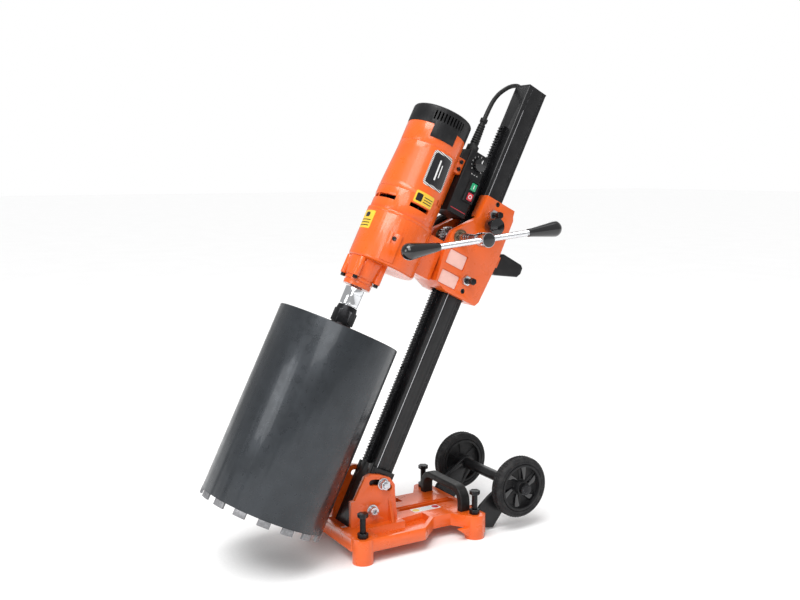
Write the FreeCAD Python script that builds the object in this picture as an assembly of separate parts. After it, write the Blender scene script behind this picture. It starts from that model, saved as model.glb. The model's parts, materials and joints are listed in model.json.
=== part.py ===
import FreeCAD, Part
import math
import os
from FreeCAD import Vector

# Core drill rig. Row frame: origin at floor level under the centre of the base's
# anchor slot, +Z up, -Y towards the core bit, +Y towards the transport wheels.
# Everything on the base is drawn "from the pivot" (pivot axis at y = 0, floor at z = 0).
# Everything on the mast is drawn upright (pivot at the origin, mast along +Z, bit
# towards -Y) and then leaned back about the pivot by TILT.

# ---- driving dimensions, millimetres and degrees ----
TILT = 26.31
TILT_MAX = 45.0
PIVOT_Z = 78.4
FIT = 0.05          # radial clearance of a shaft in its hole
GAP = 0.35          # clearance between pieces that move past each other

MAST_WIDTH = 50.0
MAST_WALL = 4.0
MAST_BOTTOM = -50.0
MAST_TOP = 949.0
GROOVE_OFFSET = 15.0
GROOVE_WIDTH = 2.4
GROOVE_DEPTH = 0.9
FOOT_SCREW_Z = -36.0
FOOT_SCREW_Y = (-14.0, 14.0)

RACK_MODULE = 2.0
RACK_WIDTH = 12.8
RACK_TIP = 13.2     # how far the tooth tips stand off the mast's front face
RACK_SEAT = 4.0     # rack left under each screw head
RACK_BOTTOM = 84.0
RACK_TOP = 850.0
PINION_TEETH = 18
PINION_FACE = 15.0
PINION_Z = 582.0

FOOT_CHEEK = 9.4
EAR_THICK = 9.6
CLAMP_RADIUS = 57.0
BOLT_R = 6.0

DECK_TOP = 50.0
SKIRT_BOTTOM = 24.0
DECK_FLOOR = 36.0
DECK_WALL = 6.0
FOOT_X = 101.4
FOOT_FRONT_Y = -52.4
FOOT_REAR_Y = 212.4
FOOT_R = 21.0
BASE_FRONT_Y = -75.0
BASE_REAR_Y = 233.0
SKIRT_X = 117.0
WAIST_X = 75.0
SPINE_X = 36.0
SLOT_FRONT_Y = 89.0
SLOT_REAR_Y = 226.0
SLOT_HALF_WIDTH = 9.0
POCKET_REAR_Y = 62.0
HEEL_THICK = 9.0

SCREW_R = 6.0
SCREW_TOP = 100.0
SCREW_HEAD_AF = 19.0
SCREW_HEAD = 8.0
LOCK_NUT = 10.0

AXLE_Y = 320.0
AXLE_Z = 93.0
AXLE_R = 7.5
AXLE_TUBE_R = 11.5
BRACKET_X = 80.0
BRACKET_THICK = 6.0
WHEEL_X = 111.0
WHEEL_R = 66.0
WHEEL_WIDTH = 28.0
RIM_R = 50.0
HUB_R = 15.0
SPOKES = 6

HANDLE_X = 81.0
HANDLE_THICK = 16.0
HANDLE_TOP = 101.0
HANDLE_FRONT_Y = 192.0
HANDLE_REAR_Y = 216.0
HANDLE_BOLT = (73.0, 204.0)
BRACKET_BOLT_X = (59.0, 70.0)

PAD_SPACE = 4.0
CARRIAGE_WALL = 16.0
CARRIAGE_TOP = 688.5
CARRIAGE_BOTTOM = 468.0
CARRIAGE_BACK_WALL = 21.0
LIP_WALL = 5.0
PINION_COVER = 22.8
PANELS_Z = ((478.0, 508.0), (521.0, 553.0))
PANEL_Y = (-65.0, -17.0)
PANEL_DEPTH = 3.0
GUIDE_LEVELS = (507.0, 656.6)
GUIDE_V = 2.0
PAD_HALF_HEIGHT = 18.0
SHAFT_R = 9.0
BUSH_R = 13.0
HANDLE_BAR_X = 131.0
HANDLE_BAR_HALF = 192.0
HANDLE_BAR_R = 6.0
HANDLE_BAR_ANGLE = 31.6
GRIP_LENGTH = 84.0
GRIP_END_R = 17.0
GRIP_ROOT_R = 8.0
CROSS_HUB_R = 15.0

KNOB_Z = 631.0
KNOB_R = 17.6
KNOB_STANDOFF = 13.0
KNOB_WIDTH = 22.0
STUD_R = 5.0
LEVER_Z = 578.0
LEVER_HALF_X = 17.0
LEVER_STANDOFF = 16.0
LEVER_ROOT_R = 9.0

MOTOR_V = 176.0
SPINDLE_V = 208.9
HOUSING_R = 70.0
HOUSING_WALL = 6.0
HOUSING_BOTTOM = 457.0
HOUSING_TOP = 563.0
BOSS_ANGLE = 64.0
MOTOR_R_LOW = 67.0
MOTOR_R_TOP = 62.5
MOTOR_BORE = 58.0
MOTOR_SHOULDER = 612.0    # where the housing starts to taper
MOTOR_SEAM = 715.0
CAP_BOTTOM = 757.0
CAP_TOP = 797.0
CAP_TAB = 26.0
TAB_ANGLE = 76.0
VENT_ANGLE = 76.0
NOSE_BOTTOM = 400.0
NOSE_R_TOP = 35.0
NOSE_R_BOTTOM = 28.0
NOSE_LUG = 36.0     # from the spindle's axis to each screw lug
NOSE_LUG_BOTTOM = 418.0
NOSE_LUG_ANGLES = (45, 135, 225, 315)
STATOR_Z = (640.0, 700.0)
STATOR_R = 34.0
ARMATURE_R = 8.0

FIRST_MODULE = 1.25
FIRST_PINION_TEETH = 8
FIRST_WHEEL_TEETH = 44
SECOND_MODULE = 1.5
SECOND_PINION_TEETH = 10
SECOND_WHEEL_TEETH = 32
PRESSURE_ANGLE = math.radians(20)
BACKLASH = 0.16     # share of the module taken off each tooth's thickness

SPINDLE_R = 19.7
SPINDLE_SHAFT_R = 12.0
SPINDLE_BOTTOM = 356.0
COUPLER_AF = 41.0
COUPLER_BOTTOM = 322.0
COUPLER_TOP = 358.0
BIT_R = 125.0
BIT_WALL = 4.0
BIT_TOP = 312.7
BIT_TUBE_BOTTOM = -71.0
BIT_TIP = -83.0
BIT_PLATE = 8.0
SEGMENTS = 16
SEGMENT_LENGTH = 24.5
SEGMENT_THICK = 5.0

BOX_X = 32.0
BOX_V = (52.0, 102.0)
BOX_Z = (622.0, 760.0)
BOX_WALL = 3.0
BUTTON_V = 64.0
BUTTON_HALF = (7.0, 8.0)
START_Z = 690.0
STOP_Z = 668.0
BUTTON_TRAVEL = 3.0
DIAL_V = 72.0
DIAL_Z = 737.0
DIAL_R = 14.0

CORD_R = 4.75
RELIEF_X = 10.0
RELIEF_V = 88.0
RELIEF_TOP = 836.0
COIL_X = (-57.0, -76.5)
COIL_V = 0.0
COIL_Z = 585.0
COIL_OUTER = 67.0
COIL_INNER = 37.5
# The cord's route in (x, v, u): v is the distance in front of the pivot, u up the mast.
CORD_ROUTE = [
    (10, 88, 836), (9, 87, 868), (0, 76, 898), (-16, 55, 925), (-33, 30, 950),
    (-48, 1, 967), (-63, -29, 963), (-75, -52, 940), (-80, -64, 909), (-80, -66, 876),
    (-79, -65, 840), (-75, -64, 785), (-69, -62, 728), (-64, -62, 672), (-62, -62, 622),
]
TAIL_ROUTE = [
    (-72, -4, 655), (-76, -21, 653), (-82, -38, 646), (-87, -51, 633), (-91, -60, 617), (-92, -68, 601),
]
PLUG_TURN = 180 - TILT    # the plug hangs straight down

FOOT_PLACES = {
    "front_left": (-FOOT_X, FOOT_FRONT_Y), "front_right": (FOOT_X, FOOT_FRONT_Y),
    "rear_left": (-FOOT_X, FOOT_REAR_Y), "rear_right": (FOOT_X, FOOT_REAR_Y),
}

# ---- values worked out from the driving dimensions ----
ANCHOR_Y = (SLOT_FRONT_Y + SLOT_REAR_Y) / 2
HALF = MAST_WIDTH / 2
EAR_INNER = HALF + FOOT_CHEEK
EAR_OUTER = EAR_INNER + EAR_THICK
CARRIAGE_CHANNEL = HALF + PAD_SPACE
CARRIAGE_X = CARRIAGE_CHANNEL + CARRIAGE_WALL
CARRIAGE_BACK = CARRIAGE_CHANNEL + CARRIAGE_BACK_WALL
CARRIAGE_LIP = HALF + LIP_WALL
KNOB_X = (CARRIAGE_X + KNOB_STANDOFF, CARRIAGE_X + KNOB_STANDOFF + KNOB_WIDTH)
LEVER_PIN_V = -CARRIAGE_BACK - LEVER_STANDOFF
RACK_PITCH = math.pi * RACK_MODULE
RACK_PITCH_V = HALF + RACK_TIP - RACK_MODULE
PINION_R = RACK_MODULE * PINION_TEETH / 2
PINION_V = RACK_PITCH_V + PINION_R
CARRIAGE_FRONT = PINION_V + PINION_COVER
FIRST_DISTANCE = FIRST_MODULE * (FIRST_PINION_TEETH + FIRST_WHEEL_TEETH) / 2
SECOND_DISTANCE = SECOND_MODULE * (SECOND_PINION_TEETH + SECOND_WHEEL_TEETH) / 2
SHAFT_STEP = SPINDLE_V - MOTOR_V
LAY_ALONG = (SHAFT_STEP ** 2 + FIRST_DISTANCE ** 2 - SECOND_DISTANCE ** 2) / (2 * SHAFT_STEP)
LAY_X = -math.sqrt(FIRST_DISTANCE ** 2 - LAY_ALONG ** 2)
LAY_V = MOTOR_V + LAY_ALONG
AXIS = {"X": Vector(1, 0, 0), "Y": Vector(0, 1, 0), "Z": Vector(0, 0, 1)}


# ---- helpers ----
def box(x, y, z):
    """A block between the two values of each pair."""
    size = [high - low for low, high in (x, y, z)]
    return Part.makeBox(*size, Vector(x[0], y[0], z[0]))


def rod(radius, start, length, axis="Z"):
    """A cylinder from a start point along a named axis."""
    return Part.makeCylinder(radius, length, Vector(*start), AXIS[axis])


def ring(outer, inner, start, length, axis="Z"):
    return rod(outer, start, length, axis).cut(rod(inner, start, length, axis))


def cone(low_r, high_r, start, length, axis="Z"):
    return Part.makeCone(low_r, high_r, length, Vector(*start), AXIS[axis])


def prism(outline, axis, low, high):
    """An outline in the plane across the axis, pulled from low to high along it.
    The outline's numbers are (y, z) for X, (x, z) for Y and (x, y) for Z."""
    lay = {"X": lambda a, b: (low, a, b), "Y": lambda a, b: (a, low, b), "Z": lambda a, b: (a, b, low)}
    points = [Vector(*lay[axis](a, b)) for a, b in outline]
    face = Part.Face(Part.makePolygon(points + points[:1]))
    return face.extrude(AXIS[axis] * (high - low))


def mirrored(outline):
    """A half outline with x above zero, closed by its mirror image."""
    return outline + [(-x, y) for x, y in reversed(outline) if x > 0]


def hexagon(across_flats, start, length, axis="Z"):
    radius = across_flats / math.sqrt(3)
    corners = [(radius * math.cos(math.radians(a)), radius * math.sin(math.radians(a)))
               for a in range(0, 360, 60)]
    shape = prism(corners, axis, 0, length)
    shape.translate(Vector(*start))
    return shape


def joined(shapes):
    """One solid from several that meet."""
    shapes = list(shapes)
    whole = shapes[0].multiFuse(shapes[1:]) if len(shapes) > 1 else shapes[0]
    return whole.removeSplitter()


def without(shape, cuts):
    for cut in cuts:
        shape = shape.cut(cut)
    return shape


def group(shapes):
    """Separate solids that share a node."""
    return Part.makeCompound(list(shapes))


def turned(shape, centre, axis, degrees):
    shape = shape.copy()
    shape.rotate(Vector(*centre), AXIS[axis], degrees)
    return shape


def both_sides(shape):
    """The shape and its mirror image across the middle plane."""
    return [shape, shape.mirror(Vector(0, 0, 0), AXIS["X"])]


def seat_on_base(shape):
    shape = shape.copy()
    shape.translate(Vector(0, -ANCHOR_Y, 0))
    return shape


def lean(shape):
    """Move a piece drawn upright at the pivot to its place on the leaning mast."""
    shape = shape.copy()
    shape.rotate(Vector(0, 0, 0), AXIS["X"], -TILT)
    shape.translate(Vector(0, -ANCHOR_Y, PIVOT_Z))
    return shape


def save(name, shape):
    count = len(shape.Solids)
    bad = [s for s in shape.Solids if not s.isValid() or s.Volume <= 0]
    volume = sum(s.Volume for s in shape.Solids) / 1000
    print(f"{name}: {count} solid(s), {volume:.2f} cm3", "BAD" if bad else "")
    shape.exportStep(f"parts/{name}.step")


def gear(module, teeth, start, width, tooth_angle, bore=0.0):
    """A spur gear about a Z axis with one tooth's middle at the tooth angle.
    Each flank is an arc through three points of the involute."""
    pitch = module * teeth / 2
    base = pitch * math.cos(PRESSURE_ANGLE)
    tip = pitch + 0.95 * module
    root = pitch - 1.25 * module
    involute = math.tan(PRESSURE_ANGLE) - PRESSURE_ANGLE

    def half_angle(radius):
        slope = math.acos(min(1.0, base / radius))
        thin = BACKLASH * module / (2 * pitch)
        return math.pi / (2 * teeth) - thin + involute - (math.tan(slope) - slope)

    def at(radius, angle):
        return Vector(radius * math.cos(angle), radius * math.sin(angle), 0)

    first = max(base, root)
    middle = (first + tip) / 2
    edges = []
    for tooth in range(teeth):
        mid = tooth_angle + 2 * math.pi * tooth / teeth
        following = mid + 2 * math.pi / teeth
        for side in (-1, 1):
            ends = [at(r, mid + side * half_angle(r)) for r in (first, middle, tip)]
            if side > 0:
                ends.reverse()
            foot = at(root, mid + side * half_angle(first))
            if side < 0 and root < first - 0.01:
                edges.append(Part.LineSegment(foot, ends[0]).toShape())
            edges.append(Part.Arc(*ends).toShape())
            if side > 0 and root < first - 0.01:
                edges.append(Part.LineSegment(ends[2], foot).toShape())
            if side < 0:
                edges.append(Part.Arc(ends[2], at(tip, mid), at(tip, mid + half_angle(tip))).toShape())
        edges.append(Part.Arc(
            at(min(root, first), mid + half_angle(first)),
            at(min(root, first), (mid + following) / 2),
            at(min(root, first), following - half_angle(first)),
        ).toShape())
    face = Part.Face(Part.Wire(Part.__sortEdges__(edges)))
    body = face.extrude(Vector(0, 0, width))
    if bore:
        body = body.cut(rod(bore, (0, 0, 0), width))
    body.translate(Vector(*start))
    return body


def rounded_path(points):
    """Straight runs joined by tangent arcs, each as large as its two runs allow."""
    places = [Vector(x, -v, u) for x, v, u in points]
    edges = []
    radii = []
    here = places[0]
    for before, corner, after in zip(places, places[1:], places[2:]):
        back = before - corner
        on = after - corner
        shorter = min(back.Length, on.Length)
        back.normalize()
        on.normalize()
        half_turn = (math.pi - back.getAngle(on)) / 2
        trim = 0.45 * shorter
        radius = trim / math.tan(half_turn)
        radii.append(radius)
        inward = back + on
        inward.normalize()
        centre = corner + inward * (radius / math.cos(half_turn))
        enter = corner + back * trim
        leave = corner + on * trim
        edges.append(Part.LineSegment(here, enter).toShape())
        edges.append(Part.Arc(enter, centre - inward * radius, leave).toShape())
        here = leave
    edges.append(Part.LineSegment(here, places[-1]).toShape())
    print("cord radii, in diameters:", [round(r / (2 * CORD_R), 1) for r in radii])
    return Part.Wire(edges)


def cord_tube(points):
    path = rounded_path(points)
    start = path.Edges[0]
    heading = start.tangentAt(start.FirstParameter)
    circle = Part.Circle(path.Edges[0].valueAt(start.FirstParameter), heading, CORD_R).toShape()
    tube = path.makePipeShell([Part.Wire([circle])], True, False)
    ideal = math.pi * CORD_R ** 2 * path.Length
    print(f"cord run {path.Length:.0f} mm, volume against section x length: {tube.Volume / ideal:.4f}")
    return tube


# ---- the base ----
def base_outline(inset=0.0):
    half = [
        (0, BASE_FRONT_Y + inset), (FOOT_X - 8 - inset / 2, BASE_FRONT_Y + inset),
        (SKIRT_X - inset, FOOT_FRONT_Y + 10), (SKIRT_X - inset, 82 - inset / 2),
        (WAIST_X - inset, 128), (WAIST_X - inset, 170), (SKIRT_X - 6 - inset, 194),
        (SKIRT_X - 6 - inset, BASE_REAR_Y - inset), (0, BASE_REAR_Y - inset),
    ]
    return mirrored(half)


def ear(side):
    outline = [
        (-48, SKIRT_BOTTOM), (-48, 103), (-39, 104), (-16, 149), (-2, 153.6), (20, 149),
        (42, 139.6), (53, 124), (54.4, 95), (63, SKIRT_BOTTOM),
    ]
    low, high = sorted((side * EAR_INNER, side * EAR_OUTER))
    plate = prism(outline, "X", low, high)
    rib_outline = [(EAR_OUTER - 1, 102), (EAR_OUTER - 1, DECK_TOP - 4), (EAR_OUTER + 16, DECK_TOP - 4)]
    rib = prism(rib_outline, "Y", 38, 44)
    if side < 0:
        rib = rib.mirror(Vector(0, 0, 0), AXIS["X"])
    return plate.fuse(rib)


def clamp_slot():
    """The arc slot in both ears, along which the tilt clamp bolt travels."""
    half_width = BOLT_R + 0.5
    start = (-EAR_OUTER - 1, 0, PIVOT_Z)
    length = 2 * EAR_OUTER + 2
    band = ring(CLAMP_RADIUS + half_width, CLAMP_RADIUS - half_width, start, length, "X")
    reach = 100.0
    away = math.radians(TILT_MAX)
    sector = [(0, PIVOT_Z), (0, PIVOT_Z + reach), (reach, PIVOT_Z + reach),
              (reach * math.sin(away), PIVOT_Z + reach * math.cos(away))]
    wedge = prism(sector, "X", -EAR_OUTER - 1, EAR_OUTER + 1)
    ends = []
    for a in (0, away):
        middle = (-EAR_OUTER - 1, CLAMP_RADIUS * math.sin(a), PIVOT_Z + CLAMP_RADIUS * math.cos(a))
        ends.append(rod(half_width, middle, length, "X"))
    return [band.common(wedge)] + ends


def base_casting():
    deck = prism(base_outline(), "Z", SKIRT_BOTTOM, DECK_TOP)
    hollow = prism(base_outline(DECK_WALL), "Z", SKIRT_BOTTOM - 1, DECK_FLOOR - DECK_WALL)
    keel = box((-SPINE_X, SPINE_X), (BASE_FRONT_Y, BASE_REAR_Y), (SKIRT_BOTTOM - 1, DECK_FLOOR))
    deck = deck.cut(hollow.cut(keel))
    for side in (-1, 1):
        pocket = [(side * (EAR_OUTER + 20), -22), (side * (SKIRT_X - DECK_WALL), -22),
                  (side * (SKIRT_X - DECK_WALL), 78), (side * (WAIST_X - DECK_WALL), 122),
                  (side * (SPINE_X + 4), 122), (side * (SPINE_X + 12), 66), (side * (EAR_OUTER + 20), 66)]
        deck = deck.cut(prism(pocket, "Z", DECK_FLOOR, DECK_TOP + 1))
    through = (SKIRT_BOTTOM - 1, DECK_TOP + 1)
    deck = deck.cut(box((-EAR_INNER, EAR_INNER), (BASE_FRONT_Y + 12, POCKET_REAR_Y), through))
    groove = box((-12, 12), (SLOT_FRONT_Y - 12, SLOT_REAR_Y - 6), (DECK_TOP - 3, DECK_TOP + 1))
    heel_outline = [(168, SKIRT_BOTTOM + 1), (190, 8), (BASE_REAR_Y, 8), (BASE_REAR_Y, SKIRT_BOTTOM + 1)]
    heels = both_sides(prism(heel_outline, "X", SKIRT_X - 6 - HEEL_THICK, SKIRT_X - 6))
    feet = [rod(FOOT_R, (x, y, 0), DECK_TOP) for x, y in FOOT_PLACES.values()]
    shape = joined([deck.cut(groove)] + feet + heels + [ear(1), ear(-1)])
    slot = [box((-SLOT_HALF_WIDTH, SLOT_HALF_WIDTH),
                (SLOT_FRONT_Y + SLOT_HALF_WIDTH, SLOT_REAR_Y - SLOT_HALF_WIDTH), (0, DECK_TOP + 1))]
    slot += [rod(SLOT_HALF_WIDTH, (0, y, 0), DECK_TOP + 1)
             for y in (SLOT_FRONT_Y + SLOT_HALF_WIDTH, SLOT_REAR_Y - SLOT_HALF_WIDTH)]
    holes = [rod(SCREW_R + FIT, (x, y, -1), DECK_TOP + 2) for x, y in FOOT_PLACES.values()]
    pivot = [rod(BOLT_R + FIT, (-EAR_OUTER - 1, 0, PIVOT_Z), 2 * EAR_OUTER + 2, "X")]
    bolt_holes = []
    for side in (-1, 1):
        bolt_holes += [rod(4 + FIT, (side * x, BASE_REAR_Y - 25, 37), 30, "Y") for x in BRACKET_BOLT_X]
        bolt_holes.append(rod(3 + FIT, (side * HANDLE_BOLT[0], HANDLE_BOLT[1], SKIRT_BOTTOM - 1), 40))
    return without(shape, slot + holes + pivot + clamp_slot() + bolt_holes)


def levelling_screw(x, y):
    shank = rod(SCREW_R, (x, y, 0), SCREW_TOP - SCREW_HEAD)
    tip = Part.makeCone(SCREW_R - 1.5, SCREW_R, 1.5, Vector(x, y, 0))
    shank = shank.cut(rod(SCREW_R, (x, y, 0), 1.5)).fuse(tip)
    head = hexagon(SCREW_HEAD_AF, (x, y, SCREW_TOP - SCREW_HEAD), SCREW_HEAD)
    return joined([shank, head])


def levelling_nuts():
    nuts = []
    for x, y in FOOT_PLACES.values():
        nut = hexagon(SCREW_HEAD_AF, (x, y, DECK_TOP), LOCK_NUT)
        nuts.append(nut.cut(rod(SCREW_R + FIT, (x, y, DECK_TOP), LOCK_NUT)))
    return group(nuts)


def pivot_bolt():
    """Socket-head bolt through both ears and the mast foot, with washers and a nut."""
    washer = 2.0
    bolt = joined([
        rod(BOLT_R, (-EAR_OUTER - washer - 12, 0, PIVOT_Z), 2 * EAR_OUTER + 2 * washer + 12, "X"),
        rod(9.0, (EAR_OUTER + washer, 0, PIVOT_Z), 10, "X"),
    ])
    bolt = bolt.cut(hexagon(8.0, (EAR_OUTER + washer + 4, 0, PIVOT_Z), 6, "X"))
    washers = [ring(12.0, BOLT_R + FIT, (x, 0, PIVOT_Z), washer, "X")
               for x in (EAR_OUTER, -EAR_OUTER - washer)]
    nut = hexagon(19, (-EAR_OUTER - washer - 10, 0, PIVOT_Z), 10, "X")
    nut = nut.cut(rod(BOLT_R + FIT, (-EAR_OUTER - washer - 10, 0, PIVOT_Z), 10, "X"))
    return group([bolt, nut] + washers)


def wheel_bracket(side):
    """A plate from the base's rear wall up to the axle, with a flange bolted to the base."""
    outline = [(BASE_REAR_Y, 14), (257, 5), (272, 3), (292, 28), (AXLE_Y + 12, AXLE_Z - 12),
               (AXLE_Y + 4, AXLE_Z + 16), (AXLE_Y - 12, AXLE_Z + 12), (258, 73), (238, 57), (BASE_REAR_Y, 50)]
    plate = prism(outline, "X", BRACKET_X, BRACKET_X + BRACKET_THICK)
    eye = rod(17, (BRACKET_X, AXLE_Y, AXLE_Z), BRACKET_THICK, "X")
    flange = box((54, BRACKET_X + 1), (BASE_REAR_Y, BASE_REAR_Y + BRACKET_THICK), (SKIRT_BOTTOM, DECK_TOP))
    shape = joined([plate, eye, flange])
    holes = [rod(4 + FIT, (x, BASE_REAR_Y - 1, 37), BRACKET_THICK + 2, "Y") for x in BRACKET_BOLT_X]
    holes.append(rod(AXLE_R + FIT, (BRACKET_X - 1, AXLE_Y, AXLE_Z), BRACKET_THICK + 2, "X"))
    shape = without(shape, holes)
    return shape if side > 0 else shape.mirror(Vector(0, 0, 0), AXIS["X"])


def axle_tube():
    return ring(AXLE_TUBE_R, AXLE_R + FIT, (-BRACKET_X, AXLE_Y, AXLE_Z), 2 * BRACKET_X, "X")


def axle_end():
    return WHEEL_X + WHEEL_WIDTH / 2 + 3


def axle_rod():
    half = axle_end() + 9
    return rod(AXLE_R, (-half, AXLE_Y, AXLE_Z), 2 * half, "X")


def base_bolts():
    """Bracket bolts, carry-handle bolts and the two axle cap nuts."""
    solids = []
    for side in (-1, 1):
        for x in BRACKET_BOLT_X:
            start = (side * x, BASE_REAR_Y + BRACKET_THICK, 37)
            solids.append(joined([rod(4, (start[0], start[1] - 24, 37), 24, "Y"), hexagon(10, start, 6, "Y")]))
        x, y = side * HANDLE_BOLT[0], HANDLE_BOLT[1]
        under = DECK_FLOOR - DECK_WALL
        shank = rod(3, (x, y, under), DECK_TOP + 9 - under)
        solids.append(joined([shank, hexagon(10, (x, y, under - 4.5), 4.5)]))
    cap = rod(12, (axle_end() + GAP, AXLE_Y, AXLE_Z), 9, "X")
    cap = cap.cut(rod(AXLE_R + FIT, (axle_end(), AXLE_Y, AXLE_Z), 9, "X"))
    return group(solids + both_sides(cap))


def carry_handle():
    """A flat arch whose two legs stand on the base."""
    def arch(half, top, radius, low):
        straight = box((-half, half), (HANDLE_FRONT_Y, HANDLE_REAR_Y), (low, top))
        corners = [e for e in straight.Edges if min(v.Z for v in e.Vertexes) > top - 0.01
                   and abs(e.Vertexes[0].X - e.Vertexes[1].X) < 0.01]
        return straight.makeFillet(radius, corners)
    outer = arch(HANDLE_X, HANDLE_TOP, 34, DECK_TOP)
    inner = arch(HANDLE_X - HANDLE_THICK, HANDLE_TOP - HANDLE_THICK + 2, 20, DECK_TOP - 1)
    shape = outer.cut(inner)
    long_edges = [e for e in shape.Edges if abs(e.Vertexes[0].Y - e.Vertexes[1].Y) < 0.01
                  and min(v.Z for v in e.Vertexes) > DECK_TOP + 0.01]
    shape = shape.makeFillet(4, long_edges)
    x, y = HANDLE_BOLT
    return without(shape, [rod(3 + FIT, (side * x, y, DECK_TOP - 1), 12) for side in (-1, 1)])


def tyre(side):
    start = (side * WHEEL_X - WHEEL_WIDTH / 2, AXLE_Y, AXLE_Z)
    shape = rod(WHEEL_R, start, WHEEL_WIDTH, "X")
    shape = shape.makeFillet(7, [e for e in shape.Edges if isinstance(e.Curve, Part.Circle)])
    return shape.cut(rod(RIM_R, start, WHEEL_WIDTH, "X"))


def wheel_rim(side):
    """A moulded rim with fan-shaped spokes and a long hub that runs on the axle."""
    low = side * WHEEL_X - WHEEL_WIDTH / 2
    band = ring(RIM_R, RIM_R - 5, (low + 1, AXLE_Y, AXLE_Z), WHEEL_WIDTH - 2, "X")
    web = rod(RIM_R - 4, (side * WHEEL_X - 3, AXLE_Y, AXLE_Z), 6, "X")
    outline = [(13, -6), (RIM_R - 10, -17), (RIM_R - 7, 0), (RIM_R - 10, 17), (13, 6)]
    pocket = prism(outline, "X", side * WHEEL_X - 4, side * WHEEL_X + 4)
    pocket.translate(Vector(0, AXLE_Y, AXLE_Z))
    kept = rod(RIM_R, (side * WHEEL_X - 1, AXLE_Y, AXLE_Z), 2, "X")
    kept = kept.fuse(rod(HUB_R + 3, (side * WHEEL_X - 5, AXLE_Y, AXLE_Z), 10, "X"))
    windows = [turned(pocket.cut(kept), (0, AXLE_Y, AXLE_Z), "X", i * 360 / SPOKES) for i in range(SPOKES)]
    inside = BRACKET_X + BRACKET_THICK + GAP
    hub_start = inside if side > 0 else -axle_end()
    hub = rod(HUB_R, (hub_start, AXLE_Y, AXLE_Z), axle_end() - inside, "X")
    shape = joined([band, without(web, windows), hub])
    bore = rod(AXLE_R + FIT, (hub_start - 1, AXLE_Y, AXLE_Z), axle_end() - inside + 2, "X")
    return shape.cut(bore)


# ---- the mast, drawn upright ----
def mast_tube():
    outer = box((-HALF, HALF), (-HALF, HALF), (MAST_BOTTOM, MAST_TOP))
    outer = outer.makeFillet(3, [e for e in outer.Edges if abs(e.Vertexes[0].Z - e.Vertexes[1].Z) > 100])
    inside = (MAST_WALL - HALF, HALF - MAST_WALL)
    whole = (MAST_BOTTOM - 1, MAST_TOP + 1)
    inner = box(inside, inside, whole)
    grooves = [box(x, (y - GROOVE_WIDTH / 2, y + GROOVE_WIDTH / 2), whole)
               for x in ((-HALF - 1, GROOVE_DEPTH - HALF), (HALF - GROOVE_DEPTH, HALF + 1))
               for y in (-GROOVE_OFFSET, GROOVE_OFFSET)]
    holes = [rod(BOLT_R + FIT, (-HALF - 1, 0, z), MAST_WIDTH + 2, "X") for z in (0, CLAMP_RADIUS)]
    holes += [rod(3 + FIT, (0, -HALF - 1, z), 8, "Y") for z in rack_screw_heights()]
    holes += [rod(3 + FIT, (-HALF - 1, y, FOOT_SCREW_Z), MAST_WIDTH + 2, "X") for y in FOOT_SCREW_Y]
    return without(outer.cut(inner), grooves + holes)


def rack_screw_heights():
    step = (RACK_TOP - RACK_BOTTOM - 60) / 4
    return [RACK_BOTTOM + 30 + step * i for i in range(5)]


def gear_rack():
    """A straight rack with a tooth gap level with the pinion's axis."""
    root = RACK_PITCH_V - 1.25 * RACK_MODULE
    tip = RACK_PITCH_V + 0.95 * RACK_MODULE
    slope = math.tan(PRESSURE_ANGLE)
    half_tip = RACK_PITCH / 4 - BACKLASH * RACK_MODULE / 2 - 0.95 * RACK_MODULE * slope
    half_root = RACK_PITCH / 4 - BACKLASH * RACK_MODULE / 2 + 1.25 * RACK_MODULE * slope
    first = math.ceil((RACK_BOTTOM - PINION_Z) / RACK_PITCH)
    last = math.floor((RACK_TOP - PINION_Z) / RACK_PITCH) - 1
    outline = [(-HALF, RACK_BOTTOM), (-root, RACK_BOTTOM)]
    for i in range(first, last + 1):
        middle = PINION_Z + (i + 0.5) * RACK_PITCH
        outline += [(-root, middle - half_root), (-tip, middle - half_tip),
                    (-tip, middle + half_tip), (-root, middle + half_root)]
    outline += [(-root, RACK_TOP), (-HALF, RACK_TOP)]
    bar = prism(outline, "X", -RACK_WIDTH / 2, RACK_WIDTH / 2)
    holes = [rod(3 + FIT, (0, -HALF - RACK_TIP - 1, z), RACK_TIP + 2, "Y") for z in rack_screw_heights()]
    sinks = [rod(5.2, (0, -HALF - RACK_TIP - 1, z), RACK_TIP + 1 - RACK_SEAT, "Y") for z in rack_screw_heights()]
    return without(bar, holes + sinks)


def mast_cap():
    cap = box((-HALF, HALF), (-HALF, HALF), (MAST_TOP, MAST_TOP + 3))
    inside = (MAST_WALL + 0.2 - HALF, HALF - MAST_WALL - 0.2)
    plug = box(inside, inside, (MAST_TOP - 14, MAST_TOP))
    return joined([cap, plug])


def mast_foot():
    """Two cheek plates that fill the space between the mast and the ears."""
    outer = EAR_INNER - GAP
    cheek = box((HALF, outer), (-HALF, HALF), (MAST_BOTTOM, 82))
    holes = [rod(BOLT_R + FIT, (HALF - 1, 0, z), outer, "X") for z in (0, CLAMP_RADIUS)]
    holes += [rod(3 + FIT, (HALF - 1, y, FOOT_SCREW_Z), outer, "X") for y in FOOT_SCREW_Y]
    return group(both_sides(without(cheek, holes)))


def mast_screws():
    """Rack screws and the screws that hold the foot's cheeks."""
    screws = []
    for z in rack_screw_heights():
        head = rod(5, (0, -HALF - RACK_SEAT - 4, z), 4, "Y")
        screws.append(joined([head, rod(3, (0, -HALF - RACK_SEAT, z), 10, "Y")]))
    for y in FOOT_SCREW_Y:
        screws += both_sides(rod(3, (HALF - MAST_WALL - 0.5, y, FOOT_SCREW_Z), 12, "X"))
    return group(screws)


def tilt_clamp_bolt():
    reach = EAR_OUTER + GAP + 2 + 14
    return rod(BOLT_R, (-reach, 0, CLAMP_RADIUS), 2 * reach, "X")


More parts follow.
